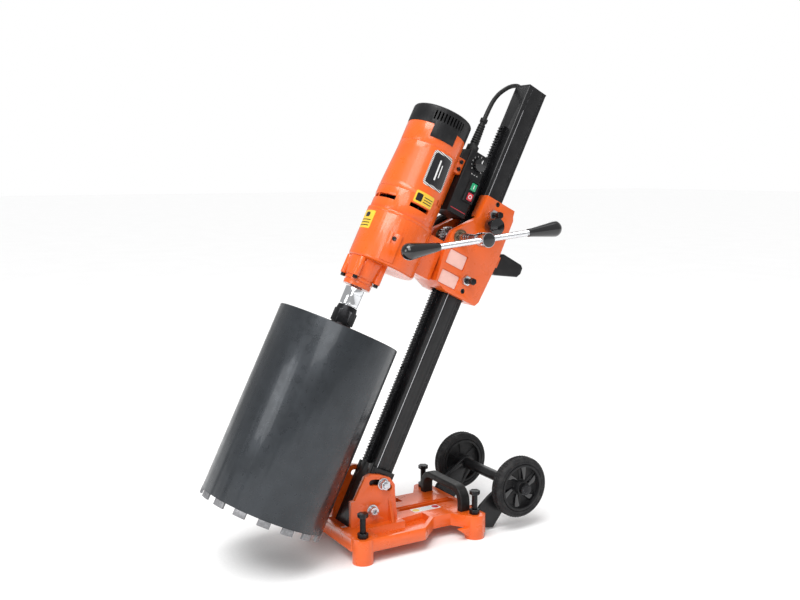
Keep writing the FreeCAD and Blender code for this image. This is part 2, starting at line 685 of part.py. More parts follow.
def tilt_clamp_nuts():
    start = EAR_OUTER + GAP
    washer = ring(12.5, BOLT_R + FIT, (start, 0, CLAMP_RADIUS), 2, "X")
    nut = hexagon(19, (start + 2, 0, CLAMP_RADIUS), 11, "X")
    nut = nut.cut(rod(BOLT_R + FIT, (start, 0, CLAMP_RADIUS), 20, "X"))
    return group(both_sides(washer) + both_sides(nut))


# ---- the carriage, drawn upright ----
def carriage_casting():
    side = [
        (-CARRIAGE_LIP, CARRIAGE_TOP), (-CARRIAGE_LIP, 638.5),
        (-CARRIAGE_FRONT + 2, 588), (-CARRIAGE_FRONT, 578),
        (-CARRIAGE_FRONT, 540), (-68.5, 478.7), (-37, CARRIAGE_BOTTOM), (44, CARRIAGE_BOTTOM),
        (CARRIAGE_BACK, 478), (CARRIAGE_BACK + 6, 560), (CARRIAGE_BACK + 4, 668), (CARRIAGE_BACK, 676),
        (CARRIAGE_BACK - 2, CARRIAGE_TOP),
    ]
    block = prism(side, "X", -CARRIAGE_X, CARRIAGE_X)
    channel = box((-CARRIAGE_CHANNEL, CARRIAGE_CHANNEL), (-HALF - GAP, CARRIAGE_CHANNEL), (400, 750))
    rack_way = box((-RACK_WIDTH / 2 - 3, RACK_WIDTH / 2 + 3), (-HALF - RACK_TIP - 4, 0), (400, 750))
    nest = box((-CARRIAGE_CHANNEL, CARRIAGE_CHANNEL), (-90, 0), (PINION_Z - 26, 640))
    open_top = box((-15, 15), (-60, 0), (630, 750))
    cuts = [channel, rack_way, nest, open_top, rod(BUSH_R, (-60, -PINION_V, PINION_Z), 120, "X")]
    for low, high in PANELS_Z:
        cuts += both_sides(box((CARRIAGE_X - PANEL_DEPTH, CARRIAGE_X + 1), PANEL_Y, (low, high)))
    cuts += [rod(STUD_R + FIT, (20, -GUIDE_V, z), 40, "X") for z in GUIDE_LEVELS + (KNOB_Z,)]
    for z in (CARRIAGE_TOP - 6.5, CARRIAGE_BOTTOM + 16):
        cuts += both_sides(rod(5.5, (CARRIAGE_X - 6, 2, z), 7, "X"))
        cuts += both_sides(rod(3 + FIT, (CARRIAGE_CHANNEL - 1, 2, z), 12, "X"))
    for z in (520, 548):
        cuts += [rod(4 + FIT, (x, -CARRIAGE_FRONT - 2, z), 26, "Y") for x in (-22, 22)]
    eyes = [box((x, x + 8), (CARRIAGE_BACK, -LEVER_PIN_V + 8), (LEVER_Z - 12, LEVER_Z + 12))
            for x in (-LEVER_HALF_X - 8.4, LEVER_HALF_X + 0.4)]
    shape = joined([without(block, cuts)] + eyes)
    pin = rod(4 + FIT, (-40, -LEVER_PIN_V, LEVER_Z), 80, "X")
    hook_hole = rod(4 + FIT, (-CARRIAGE_X - 1, -hook_place()[0], hook_place()[1]), 10, "X")
    return without(shape, [pin, hook_hole])


def guide_pads():
    """Plastic slide pads between the carriage and the mast's sides and back."""
    pads = []
    for z in GUIDE_LEVELS:
        span = (z - PAD_HALF_HEIGHT, z + PAD_HALF_HEIGHT)
        pads += both_sides(box((HALF + GAP, CARRIAGE_CHANNEL), (-20, 20), span))
        pads.append(box((-20, 20), (HALF + GAP, CARRIAGE_CHANNEL), span))
    return group(pads)


def guide_screws():
    solids = []
    for z in GUIDE_LEVELS:
        stud = rod(STUD_R, (CARRIAGE_CHANNEL, -GUIDE_V, z), CARRIAGE_WALL + 26, "X")
        solids.append(joined([stud, hexagon(13, (CARRIAGE_X + 21, -GUIDE_V, z), 9, "X")]))
        nut = hexagon(19, (CARRIAGE_X, -GUIDE_V, z), 8, "X")
        solids.append(nut.cut(rod(STUD_R + FIT, (CARRIAGE_X, -GUIDE_V, z), 8, "X")))
    return group(solids)


def carriage_screws():
    """Socket screws of the side plates, the motor mount and the nose, and the lever's pin."""
    solids = []
    for z in (CARRIAGE_TOP - 6.5, CARRIAGE_BOTTOM + 16):
        solids += both_sides(joined([
            rod(5, (CARRIAGE_X - 6, 2, z), 5, "X").cut(hexagon(5, (CARRIAGE_X - 4, 2, z), 3, "X")),
            rod(3, (CARRIAGE_CHANNEL, 2, z), CARRIAGE_X - 6 - CARRIAGE_CHANNEL, "X")]))
    for z in (520, 548):
        solids += [rod(4, (x, -CARRIAGE_FRONT - 12, z), 30, "Y") for x in (-22, 22)]
    solids.append(rod(4, (-LEVER_HALF_X - 8.4, -LEVER_PIN_V, LEVER_Z), 2 * LEVER_HALF_X + 16.8, "X"))
    return group(solids + nose_screws())


def shaft_bushes():
    length = CARRIAGE_X - CARRIAGE_CHANNEL
    bush = ring(BUSH_R, SHAFT_R + FIT, (CARRIAGE_CHANNEL, -PINION_V, PINION_Z), length, "X")
    flange = ring(BUSH_R + 3, SHAFT_R + FIT, (CARRIAGE_X, -PINION_V, PINION_Z), 2.5, "X")
    return group(both_sides(joined([bush, flange])))


def motor_mount():
    """The block that joins the gear housing to the carriage's front."""
    block = box((-34, 34), (-MOTOR_V, -CARRIAGE_FRONT), (474, 560))
    block = block.cut(rod(HOUSING_R, (0, -MOTOR_V, 400), 300))
    holes = [rod(4 + FIT, (x, -CARRIAGE_FRONT - 13, z), 15, "Y") for z in (520, 548) for x in (-22, 22)]
    return without(block.Solids[0], holes)


def pinion_shaft():
    shaft = rod(SHAFT_R, (-CARRIAGE_X - 6, -PINION_V, PINION_Z), CARRIAGE_X + 6 + 118, "X")
    for x in (66, 74, 82):
        shaft = shaft.cut(ring(SHAFT_R + 1, SHAFT_R - 1.2, (x, -PINION_V, PINION_Z), 3, "X"))
    teeth = gear(RACK_MODULE, PINION_TEETH, (0, 0, 0), PINION_FACE, 0.0)
    teeth = turned(teeth, (0, 0, 0), "Y", 90)
    # after the turn the first tooth points down, so bring it round to face the rack
    teeth = turned(teeth, (0, 0, 0), "X", 90)
    teeth.translate(Vector(-PINION_FACE / 2, -PINION_V, PINION_Z))
    end = rod(SHAFT_R + 6, (-CARRIAGE_X - 7, -PINION_V, PINION_Z), 4, "X")
    return joined([shaft, teeth, end])


def handle_hub():
    start = (118, -PINION_V, PINION_Z)
    body = joined([rod(CROSS_HUB_R, start, 26, "X"), rod(CROSS_HUB_R - 2, (112, -PINION_V, PINION_Z), 6, "X")])
    body = body.cut(rod(SHAFT_R + FIT, (111, -PINION_V, PINION_Z), 7, "X"))
    hole = rod(HANDLE_BAR_R + FIT, (HANDLE_BAR_X, -PINION_V - 40, PINION_Z), 80, "Y")
    return body.cut(turned(hole, (0, -PINION_V, PINION_Z), "X", HANDLE_BAR_ANGLE))


def handle_bar():
    half = HANDLE_BAR_HALF - 20
    bar = rod(HANDLE_BAR_R, (HANDLE_BAR_X, -PINION_V - half, PINION_Z), 2 * half, "Y")
    return turned(bar, (0, -PINION_V, PINION_Z), "X", HANDLE_BAR_ANGLE)


def handle_grips():
    """Two tapered grips with domed ends, thickest at the tip."""
    grips = []
    for way in (-1, 1):
        root = HANDLE_BAR_HALF - GRIP_LENGTH
        tip = HANDLE_BAR_HALF - GRIP_END_R
        profile = [
            Part.LineSegment(Vector(0, root, 0), Vector(GRIP_ROOT_R, root, 0)).toShape(),
            Part.LineSegment(Vector(GRIP_ROOT_R, root, 0), Vector(GRIP_END_R, tip, 0)).toShape(),
            Part.Arc(Vector(GRIP_END_R, tip, 0),
                     Vector(GRIP_END_R * math.sqrt(0.5), tip + GRIP_END_R * math.sqrt(0.5), 0),
                     Vector(0, HANDLE_BAR_HALF, 0)).toShape(),
            Part.LineSegment(Vector(0, HANDLE_BAR_HALF, 0), Vector(0, root, 0)).toShape(),
        ]
        grip = Part.Face(Part.Wire(profile)).revolve(Vector(0, 0, 0), AXIS["Y"], 360)
        if way < 0:
            grip = turned(grip, (0, 0, 0), "X", 180)
        grip.translate(Vector(HANDLE_BAR_X, -PINION_V, PINION_Z))
        hole_y = -PINION_V + (root - 1 if way > 0 else -HANDLE_BAR_HALF + 19.9)
        hole = rod(HANDLE_BAR_R + FIT, (HANDLE_BAR_X, hole_y, PINION_Z), GRIP_LENGTH - 18.9, "Y")
        grip = grip.cut(hole)
        grips.append(turned(grip, (0, -PINION_V, PINION_Z), "X", HANDLE_BAR_ANGLE))
    return group(grips)


def lock_knob():
    """A lobed knob on a stud that presses on the mast."""
    low, high = KNOB_X
    lobes = 7
    knob = rod(KNOB_R, (low, -GUIDE_V, KNOB_Z), high - low, "X")
    for i in range(lobes):
        angle = 2 * math.pi * i / lobes
        middle = (low - 1, -GUIDE_V + 23 * math.cos(angle), KNOB_Z + 23 * math.sin(angle))
        knob = knob.cut(rod(5, middle, high - low + 2, "X"))
    collar = rod(11, (CARRIAGE_X + 4, -GUIDE_V, KNOB_Z), low - CARRIAGE_X - 4, "X")
    stud = rod(STUD_R, (HALF + GAP, -GUIDE_V, KNOB_Z), low - HALF - GAP, "X")
    return joined([knob, collar, stud])


def clamp_lever():
    """A black hand lever behind the carriage, wide at its root and tapering to its tip."""
    outline = [
        (0, LEVER_Z - 8), (4, LEVER_Z - 23), (18, LEVER_Z - 26), (75, LEVER_Z - 6), (81, LEVER_Z + 4),
        (80, LEVER_Z + 18), (73, LEVER_Z + 23), (20, LEVER_Z + 25), (6, LEVER_Z + 18), (0, LEVER_Z + 8),
    ]
    outline = [(y - LEVER_PIN_V, z) for y, z in outline]
    body = prism(outline, "X", -LEVER_HALF_X, LEVER_HALF_X)
    body = body.makeFillet(4, [e for e in body.Edges if min(v.Y for v in e.Vertexes) > 5 - LEVER_PIN_V
                               and abs(e.Vertexes[0].X - e.Vertexes[1].X) < 0.01])
    root = rod(LEVER_ROOT_R, (-LEVER_HALF_X, -LEVER_PIN_V, LEVER_Z), 2 * LEVER_HALF_X, "X")
    body = joined([body, root])
    return body.cut(rod(4 + FIT, (-LEVER_HALF_X - 1, -LEVER_PIN_V, LEVER_Z), 2 * LEVER_HALF_X + 2, "X"))


def hook_place():
    """Where the peg stands so that the coil hangs on it, as (v, u)."""
    reach = COIL_INNER - 6.3
    return (COIL_V + reach * math.sin(math.radians(TILT)), COIL_Z + reach * math.cos(math.radians(TILT)))


def cord_hook():
    v, u = hook_place()
    outer = COIL_X[1] - 0.5
    spigot = rod(4, (-CARRIAGE_X - 0.01, -v, u), 8, "X")
    peg = rod(6, (outer, -v, u), -CARRIAGE_X - outer, "X")
    disc = rod(12, (outer - 3, -v, u), 3, "X")
    foot = rod(12, (-CARRIAGE_X - 3, -v, u), 3, "X")
    return joined([spigot, peg, disc, foot])


# ---- the drill motor, drawn upright ----
def gear_housing():
    shell = rod(HOUSING_R, (0, -MOTOR_V, HOUSING_BOTTOM), HOUSING_TOP - HOUSING_BOTTOM)
    shell = shell.makeFillet(6, [e for e in shell.Edges if isinstance(e.Curve, Part.Circle)
                                 and abs(e.Vertexes[0].Z - HOUSING_BOTTOM) < 0.01])
    cavity = rod(HOUSING_R - HOUSING_WALL, (0, -MOTOR_V, HOUSING_BOTTOM + 13), HOUSING_TOP - HOUSING_BOTTOM)
    shell = shell.cut(cavity)
    lay_seat = rod(14, (LAY_X, -LAY_V, HOUSING_BOTTOM + 12), 30)
    pad = box((-14, 14), (-MOTOR_V - HOUSING_R - 2, -MOTOR_V - HOUSING_R + 4), (HOUSING_BOTTOM + 7, 522))
    notch = box((-5, 5), (-MOTOR_V - HOUSING_R - 3, -MOTOR_V - HOUSING_R - 0.2), (500, 523))
    bosses = [turned(pad.cut(notch), (0, -MOTOR_V, 0), "Z", angle) for angle in (BOSS_ANGLE, -BOSS_ANGLE)]
    shape = joined([shell, lay_seat] + bosses)
    cuts = [rod(20 + FIT, (0, -SPINDLE_V, HOUSING_BOTTOM - 1), 15),
            rod(9 + FIT, (LAY_X, -LAY_V, HOUSING_BOTTOM + 28), 15),
            ring(HOUSING_R + 1, HOUSING_R - 0.7, (0, -MOTOR_V, HOUSING_TOP - 7), 1.1)]
    return without(shape, cuts)


def nose():
    """The tapered, ringed nose that carries the spindle's lower bearing."""
    body = cone(NOSE_R_BOTTOM, NOSE_R_TOP, (0, -SPINDLE_V, NOSE_BOTTOM), HOUSING_BOTTOM - NOSE_BOTTOM)
    grooves = [ring(60, NOSE_R_BOTTOM + (z - NOSE_BOTTOM) * 0.12 - 1.5, (0, -SPINDLE_V, z), 3)
               for z in (408, 416)]
    lug = rod(7, (0, -SPINDLE_V - NOSE_LUG, NOSE_LUG_BOTTOM), HOUSING_BOTTOM - NOSE_LUG_BOTTOM)
    lugs = [turned(lug, (0, -SPINDLE_V, 0), "Z", a) for a in NOSE_LUG_ANGLES]
    body = joined([without(body, grooves)] + lugs)
    hole = rod(3 + FIT, (0, -SPINDLE_V - NOSE_LUG, 410), 60)
    holes = [turned(hole, (0, -SPINDLE_V, 0), "Z", a) for a in NOSE_LUG_ANGLES]
    bore = [rod(SPINDLE_SHAFT_R + 2, (0, -SPINDLE_V, NOSE_BOTTOM - 1), 80),
            rod(20 + FIT, (0, -SPINDLE_V, 425), 60)]
    return without(body, holes + bore)


def nose_screws():
    screws = []
    for angle in NOSE_LUG_ANGLES:
        shank = rod(3, (0, -SPINDLE_V - NOSE_LUG, NOSE_LUG_BOTTOM), 36)
        head = rod(5, (0, -SPINDLE_V - NOSE_LUG, NOSE_LUG_BOTTOM - 6), 6)
        one = joined([shank, head]).cut(hexagon(5, (0, -SPINDLE_V - NOSE_LUG, NOSE_LUG_BOTTOM - 6), 3))
        screws.append(turned(one, (0, -SPINDLE_V, 0), "Z", angle))
    return screws


def motor_housing():
    outer = joined([
        rod(MOTOR_R_LOW, (0, -MOTOR_V, HOUSING_TOP), MOTOR_SHOULDER - HOUSING_TOP),
        cone(MOTOR_R_LOW, MOTOR_R_TOP, (0, -MOTOR_V, MOTOR_SHOULDER), 700 - MOTOR_SHOULDER),
        rod(MOTOR_R_TOP, (0, -MOTOR_V, 700), CAP_BOTTOM - 700),
    ])
    flange = box((-12, 12), (-MOTOR_V, -MOTOR_V + MOTOR_R_LOW + 5), (630, 735))
    lug = box((-16, 26), (-MOTOR_V, -BOX_V[1]), (700, 733))
    outer = joined([outer, flange, lug])
    bore = rod(MOTOR_BORE, (0, -MOTOR_V, HOUSING_TOP + 10), 300)
    slot = box((-22, 22), (-MOTOR_V - 90, -MOTOR_V - 40), (584, 593))
    slots = [turned(slot, (0, -MOTOR_V, 0), "Z", a) for a in (20, 85, 275, 340)]
    seats = [rod(16 + FIT, (0, -MOTOR_V, HOUSING_TOP - 1), 12),
             rod(9 + FIT, (LAY_X, -LAY_V, HOUSING_TOP - 1), 8)]
    seams = [ring(radius + 0.6, radius - 0.7, (0, -MOTOR_V, z), 1.1)
             for radius, z in ((MOTOR_R_LOW, MOTOR_SHOULDER - 1.2), (MOTOR_R_TOP, MOTOR_SEAM))]
    return without(outer, [bore] + slots + seats + seams)


def motor_cap():
    """The vented top cover, with a skirt tab over the housing and a bearing seat inside."""
    cap = rod(MOTOR_R_TOP + 0.5, (0, -MOTOR_V, CAP_BOTTOM), CAP_TOP - CAP_BOTTOM)
    cap = cap.makeFillet(7, [e for e in cap.Edges if isinstance(e.Curve, Part.Circle)
                             and abs(e.Vertexes[0].Z - CAP_TOP) < 0.01])
    cap = cap.cut(rod(MOTOR_BORE, (0, -MOTOR_V, CAP_BOTTOM - 1), CAP_TOP - CAP_BOTTOM - 3))
    tab = ring(MOTOR_R_TOP + 2, MOTOR_R_TOP + 0.1, (0, -MOTOR_V, CAP_BOTTOM - CAP_TAB), CAP_TAB)
    window = box((-26, 26), (-MOTOR_V - 80, -MOTOR_V - 40), (CAP_BOTTOM - CAP_TAB - 1, CAP_BOTTOM + 13))
    window = turned(window, (0, -MOTOR_V, 0), "Z", TAB_ANGLE)
    tab = tab.common(window)
    collar = ring(MOTOR_R_TOP + 2, MOTOR_R_TOP, (0, -MOTOR_V, CAP_BOTTOM), 12).common(window)
    boss = ring(24, 19 + FIT, (0, -MOTOR_V, 752), CAP_TOP - 4 - 752)
    vents = []
    vent = box((-1.8, 1.8), (-MOTOR_V - 80, -MOTOR_V - 40), (CAP_BOTTOM + 9, CAP_TOP - 12))
    for middle in (VENT_ANGLE, -VENT_ANGLE):
        vents += [turned(vent, (0, -MOTOR_V, 0), "Z", middle + (i - 4.5) * 6.5) for i in range(10)]
    spokes = [turned(box((-3, 3), (-MOTOR_V - MOTOR_BORE - 1, -MOTOR_V - 22), (CAP_BOTTOM + 1, CAP_TOP - 4)),
                     (0, -MOTOR_V, 0), "Z", a) for a in (0, 60, 180, 300)]
    return without(joined([cap, tab, collar, boss] + spokes), vents)


def stator():
    low, high = STATOR_Z
    return ring(MOTOR_BORE - FIT, STATOR_R, (0, -MOTOR_V, low), high - low)


def brush_gear():
    """The brush ring with its two radial holders and carbon brushes."""
    frame = ring(MOTOR_BORE - FIT, 50, (0, -MOTOR_V, 712), 22)
    arms = [box(x, (-MOTOR_V - 6, -MOTOR_V + 6), (714, 732)) for x in ((16.4, 52), (-52, -16.4))]
    return joined([frame] + arms)


def bearings():
    """Ball bearings of the spindle, the layshaft and the armature."""
    rows = [
        (20, SPINDLE_SHAFT_R, 0, SPINDLE_V, 426, 14), (20, SPINDLE_SHAFT_R, 0, SPINDLE_V, 455, 14),
        (9, 5, LAY_X, LAY_V, HOUSING_BOTTOM + 28.5, 13), (9, 5, LAY_X, LAY_V, HOUSING_TOP - 0.5, 7),
        (16, ARMATURE_R, 0, MOTOR_V, HOUSING_TOP + 0.5, 9), (19, ARMATURE_R, 0, MOTOR_V, 754, 12),
    ]
    return group(ring(outer, inner + FIT, (x, -v, z), width) for outer, inner, x, v, z, width in rows)


def armature():
    """The armature shaft with its pinion, laminated core and commutator."""
    pinion = gear(FIRST_MODULE, FIRST_PINION_TEETH, (0, -MOTOR_V, 541), 15, gear_angle("first"))
    shaft = rod(ARMATURE_R, (0, -MOTOR_V, 557), 768 - 557)
    neck = cone(3.5, ARMATURE_R, (0, -MOTOR_V, 555.5), 1.5)
    low, high = STATOR_Z
    core = rod(STATOR_R - 0.8, (0, -MOTOR_V, low), high - low)
    core = without(core, [turned(box((-1.2, 1.2), (-MOTOR_V - 40, -MOTOR_V - 25), (low - 1, high + 1)),
                                 (0, -MOTOR_V, 0), "Z", a) for a in range(0, 360, 30)])
    commutator = rod(16, (0, -MOTOR_V, 712), 22)
    return joined([pinion, neck, shaft, core, commutator])


def fan():
    disc = ring(52, ARMATURE_R + FIT, (0, -MOTOR_V, 600), 3)
    hub = ring(13, ARMATURE_R + FIT, (0, -MOTOR_V, 588), 13)
    blades = [turned(box((-1.2, 1.2), (-MOTOR_V - 51, -MOTOR_V - 12), (588, 601)), (0, -MOTOR_V, 0), "Z", a)
              for a in range(0, 360, 30)]
    return joined([disc, hub] + blades)


def gear_angle(stage):
    """The direction, in the upright XY plane, from a driving gear's axis to the driven one's."""
    if stage == "first":
        return math.atan2(-(LAY_V - MOTOR_V), LAY_X)
    return math.atan2(-(SPINDLE_V - LAY_V), -LAY_X)


def intermediate_gears():
    big_angle = gear_angle("first") + math.pi + math.pi / FIRST_WHEEL_TEETH
    big = gear(FIRST_MODULE, FIRST_WHEEL_TEETH, (LAY_X, -LAY_V, 542), 13, big_angle)
    small = gear(SECOND_MODULE, SECOND_PINION_TEETH, (LAY_X, -LAY_V, 506), 37, gear_angle("second"))
    shaft = rod(5, (LAY_X, -LAY_V, HOUSING_BOTTOM + 28.5), HOUSING_TOP + 6 - HOUSING_BOTTOM - 28.5)
    return joined([big, small, shaft])


def spindle():
    shaft = rod(SPINDLE_SHAFT_R, (0, -SPINDLE_V, 396), 538 - 396)
    body = rod(SPINDLE_R, (0, -SPINDLE_V, SPINDLE_BOTTOM + 4), 396 - SPINDLE_BOTTOM - 4)
    flats = [box(x, (-SPINDLE_V - 30, -SPINDLE_V + 30), (366, 384)) for x in ((17, 30), (-30, -17))]
    thread = rod(14, (0, -SPINDLE_V, 330), SPINDLE_BOTTOM + 5 - 330)
    bore = rod(4, (0, -SPINDLE_V, 320), 200)
    return without(joined([shaft, body, thread]), flats + [bore])


def spindle_gear():
    angle = gear_angle("second") + math.pi + math.pi / SECOND_WHEEL_TEETH
    return gear(SECOND_MODULE, SECOND_WHEEL_TEETH, (0, -SPINDLE_V, 510), 24, angle, SPINDLE_SHAFT_R + FIT)


def bit_coupler():
    nut = hexagon(COUPLER_AF, (0, -SPINDLE_V, COUPLER_BOTTOM), COUPLER_TOP - COUPLER_BOTTOM)
    nut = nut.common(cone(27, 17, (0, -SPINDLE_V, COUPLER_BOTTOM - 8), 60).fuse(
        rod(24, (0, -SPINDLE_V, COUPLER_BOTTOM), 26)))
    collar = cone(26, 20, (0, -SPINDLE_V, BIT_TOP), COUPLER_BOTTOM - BIT_TOP)
    return joined([nut, collar]).cut(rod(14 + FIT, (0, -SPINDLE_V, BIT_TOP - 1), 60))


def core_bit():
    """The open steel barrel and its top plate."""
    barrel = ring(BIT_R, BIT_R - BIT_WALL, (0, -SPINDLE_V, BIT_TUBE_BOTTOM), BIT_TOP - BIT_TUBE_BOTTOM)
    plate = ring(BIT_R - 1, 14 + FIT, (0, -SPINDLE_V, BIT_TOP - BIT_PLATE), BIT_PLATE)
    body = joined([barrel, plate])
    return body.makeChamfer(1.2, [e for e in body.Edges if isinstance(e.Curve, Part.Circle)
                                  and abs(e.Curve.Radius - BIT_R) < 0.01 and abs(e.Vertexes[0].Z - BIT_TOP) < 0.01])


def bit_segments():
    """Diamond segments brazed under the barrel's rim, with water gaps between them."""
    middle = BIT_R - BIT_WALL / 2
    outer, inner = middle + SEGMENT_THICK / 2, middle - SEGMENT_THICK / 2
    band = ring(outer, inner, (0, -SPINDLE_V, BIT_TIP), BIT_TUBE_BOTTOM - BIT_TIP)
    half = SEGMENT_LENGTH / 2
    front = (-SPINDLE_V - BIT_R - 10, -SPINDLE_V - 60)
    one = band.common(box((-half, half), front, (BIT_TIP - 1, BIT_TUBE_BOTTOM + 1)))
    return group(turned(one, (0, -SPINDLE_V, 0), "Z", i * 360 / SEGMENTS) for i in range(SEGMENTS))


# ---- switch box, controls and cord, drawn upright ----
def switch_box():
    outer = box((-BOX_X, BOX_X), (-BOX_V[1], -BOX_V[0]), BOX_Z)
    outer = outer.makeFillet(4, [e for e in outer.Edges if abs(e.Vertexes[0].Z - e.Vertexes[1].Z) > 50])
    inner = box((BOX_WALL - BOX_X, BOX_X - BOX_WALL), (BOX_WALL - BOX_V[1], -BOX_V[0] - BOX_WALL),
                (BOX_Z[0] + BOX_WALL, BOX_Z[1] - BOX_WALL))
    guard = box((BOX_X - 1, BOX_X + 5), (-BUTTON_V - 13, -BUTTON_V + 10), (STOP_Z - 13, START_Z + 12))
    well = box((BOX_X, BOX_X + 6), (-BUTTON_V - 9, -BUTTON_V + 8), (STOP_Z - 10, START_Z + 10))
    shape = joined([outer.cut(inner), guard.cut(well)])
    half_v, half_z = BUTTON_HALF
    half_v, half_z = half_v + 0.4, half_z + 0.4
    cuts = [box((BOX_X - 5, BOX_X + 1), (-BUTTON_V - half_v, -BUTTON_V + half_v), (z - half_z, z + half_z))
            for z in (START_Z, STOP_Z)]
    cuts.append(rod(3 + FIT, (BOX_X - 5, -DIAL_V, DIAL_Z), 8, "X"))
    cuts.append(rod(6, (RELIEF_X, -RELIEF_V, BOX_Z[1] - 5), 8))
    return without(shape, cuts)


def button(z):
    half_v, half_z = BUTTON_HALF
    back = BOX_X - BOX_WALL
    cap = box((back - 1.5, BOX_X + 4), (-BUTTON_V - half_v, -BUTTON_V + half_v), (z - half_z, z + half_z))
    flange = box((back - 3, back - 0.3), (-BUTTON_V - half_v - 2, -BUTTON_V + half_v + 2),
                 (z - half_z - 1.5, z + half_z + 1.5))
    return joined([cap, flange])


def speed_dial():
    knob = rod(DIAL_R, (BOX_X + 0.4, -DIAL_V, DIAL_Z), 9, "X")
    flute = rod(2, (BOX_X, -DIAL_V + DIAL_R + 0.9, DIAL_Z), 12, "X")
    knob = without(knob, [turned(flute, (0, -DIAL_V, DIAL_Z), "X", a) for a in range(0, 360, 30)])
    pointer = box((BOX_X + 9.4, BOX_X + 10.4), (-DIAL_V - 1.2, -DIAL_V + 1.2), (DIAL_Z + 2, DIAL_Z + 11))
    stem = rod(3, (BOX_X - 8, -DIAL_V, DIAL_Z), 9, "X")
    return joined([knob, pointer, stem])


def strain_relief():
    """A gland nut with a ribbed, tapering sleeve."""
    low = BOX_Z[1]
    parts = [hexagon(22, (RELIEF_X, -RELIEF_V, low), 14), rod(9, (RELIEF_X, -RELIEF_V, low + 14), 4),
             cone(6.8, 6.0, (RELIEF_X, -RELIEF_V, low + 18), RELIEF_TOP - low - 24)]
    rib_count = 8
    pitch = (RELIEF_TOP - low - 32) / rib_count
    parts += [rod(9.4 - 0.25 * i, (RELIEF_X, -RELIEF_V, low + 20 + pitch * i), pitch * 0.55) for i in range(rib_count)]
    parts.append(rod(8, (RELIEF_X, -RELIEF_V, RELIEF_TOP - 8), 8))
    return joined(parts)


def cord_coil():
    length = COIL_X[0] - COIL_X[1]
    return ring(COIL_OUTER, COIL_INNER, (COIL_X[1], -COIL_V, COIL_Z), length, "X")


def power_cord():
    return group([cord_tube(CORD_ROUTE), cord_tube(TAIL_ROUTE)])


def power_plug():
    """A moulded two-pin plug at the cord's end, lying beside the coil."""
    x, v, u = TAIL_ROUTE[-1]
    sleeve = cone(6, 9, (0, 0, 0), 20)
    body = box((-13, 13), (-17, 17), (20, 50))
    body = body.makeFillet(5, [e for e in body.Edges if abs(e.Vertexes[0].Z - e.Vertexes[1].Z) > 20])
    pins = [rod(2.4, (0, y, 50), 19) for y in (-9.5, 9.5)]
    plug = turned(joined([sleeve, body] + pins), (0, 0, 0), "X", -PLUG_TURN)
    plug.translate(Vector(x, -v, u))
    return plug


def main():
    os.makedirs("parts", exist_ok=True)
    on_base = {
        "base_casting": base_casting(), "levelling_nuts": levelling_nuts(), "pivot_bolt": pivot_bolt(),
        "wheel_bracket_left": wheel_bracket(-1), "wheel_bracket_right": wheel_bracket(1),
        "axle_tube": axle_tube(), "axle_rod": axle_rod(), "base_bolts": base_bolts(),
        "carry_handle": carry_handle(),
        "wheel_rim_left": wheel_rim(-1), "wheel_rim_right": wheel_rim(1),
        "tyre_left": tyre(-1), "tyre_right": tyre(1),
    }
    for place, (x, y) in FOOT_PLACES.items():
        on_base[f"levelling_screw_{place}"] = levelling_screw(x, y)
    on_mast = {
        "mast_tube": mast_tube(), "gear_rack": gear_rack(), "mast_cap": mast_cap(), "mast_foot": mast_foot(),
        "mast_screws": mast_screws(), "tilt_clamp_bolt": tilt_clamp_bolt(), "tilt_clamp_nuts": tilt_clamp_nuts(),
        "carriage_casting": carriage_casting(), "guide_pads": guide_pads(), "guide_screws": guide_screws(),
        "carriage_screws": carriage_screws(), "shaft_bushes": shaft_bushes(),
        "motor_mount": motor_mount(),
        "pinion_shaft": pinion_shaft(), "handle_hub": handle_hub(), "handle_bar": handle_bar(),
        "handle_grips": handle_grips(), "lock_knob": lock_knob(), "clamp_lever": clamp_lever(),
        "cord_hook": cord_hook(), "gear_housing": gear_housing(), "nose": nose(),
        "motor_housing": motor_housing(), "motor_cap": motor_cap(), "stator": stator(),
        "brush_gear": brush_gear(), "bearings": bearings(), "armature": armature(), "fan": fan(),
        "intermediate_gears": intermediate_gears(),
        "spindle": spindle(), "spindle_gear": spindle_gear(), "bit_coupler": bit_coupler(),
        "core_bit": core_bit(),
        "bit_segments": bit_segments(), "switch_box": switch_box(), "start_button": button(START_Z),
        "stop_button": button(STOP_Z), "speed_dial": speed_dial(), "strain_relief": strain_relief(),
        "power_cord": power_cord(), "cord_coil": cord_coil(), "power_plug": power_plug(),
    }
    for name, shape in on_base.items():
        save(name, seat_on_base(shape))
    for name, shape in on_mast.items():
        save(name, lean(shape))
    print(len(on_base) + len(on_mast), "nodes")


main()
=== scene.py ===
import json
import math
import bmesh
import bpy
from mathutils import Matrix, Vector


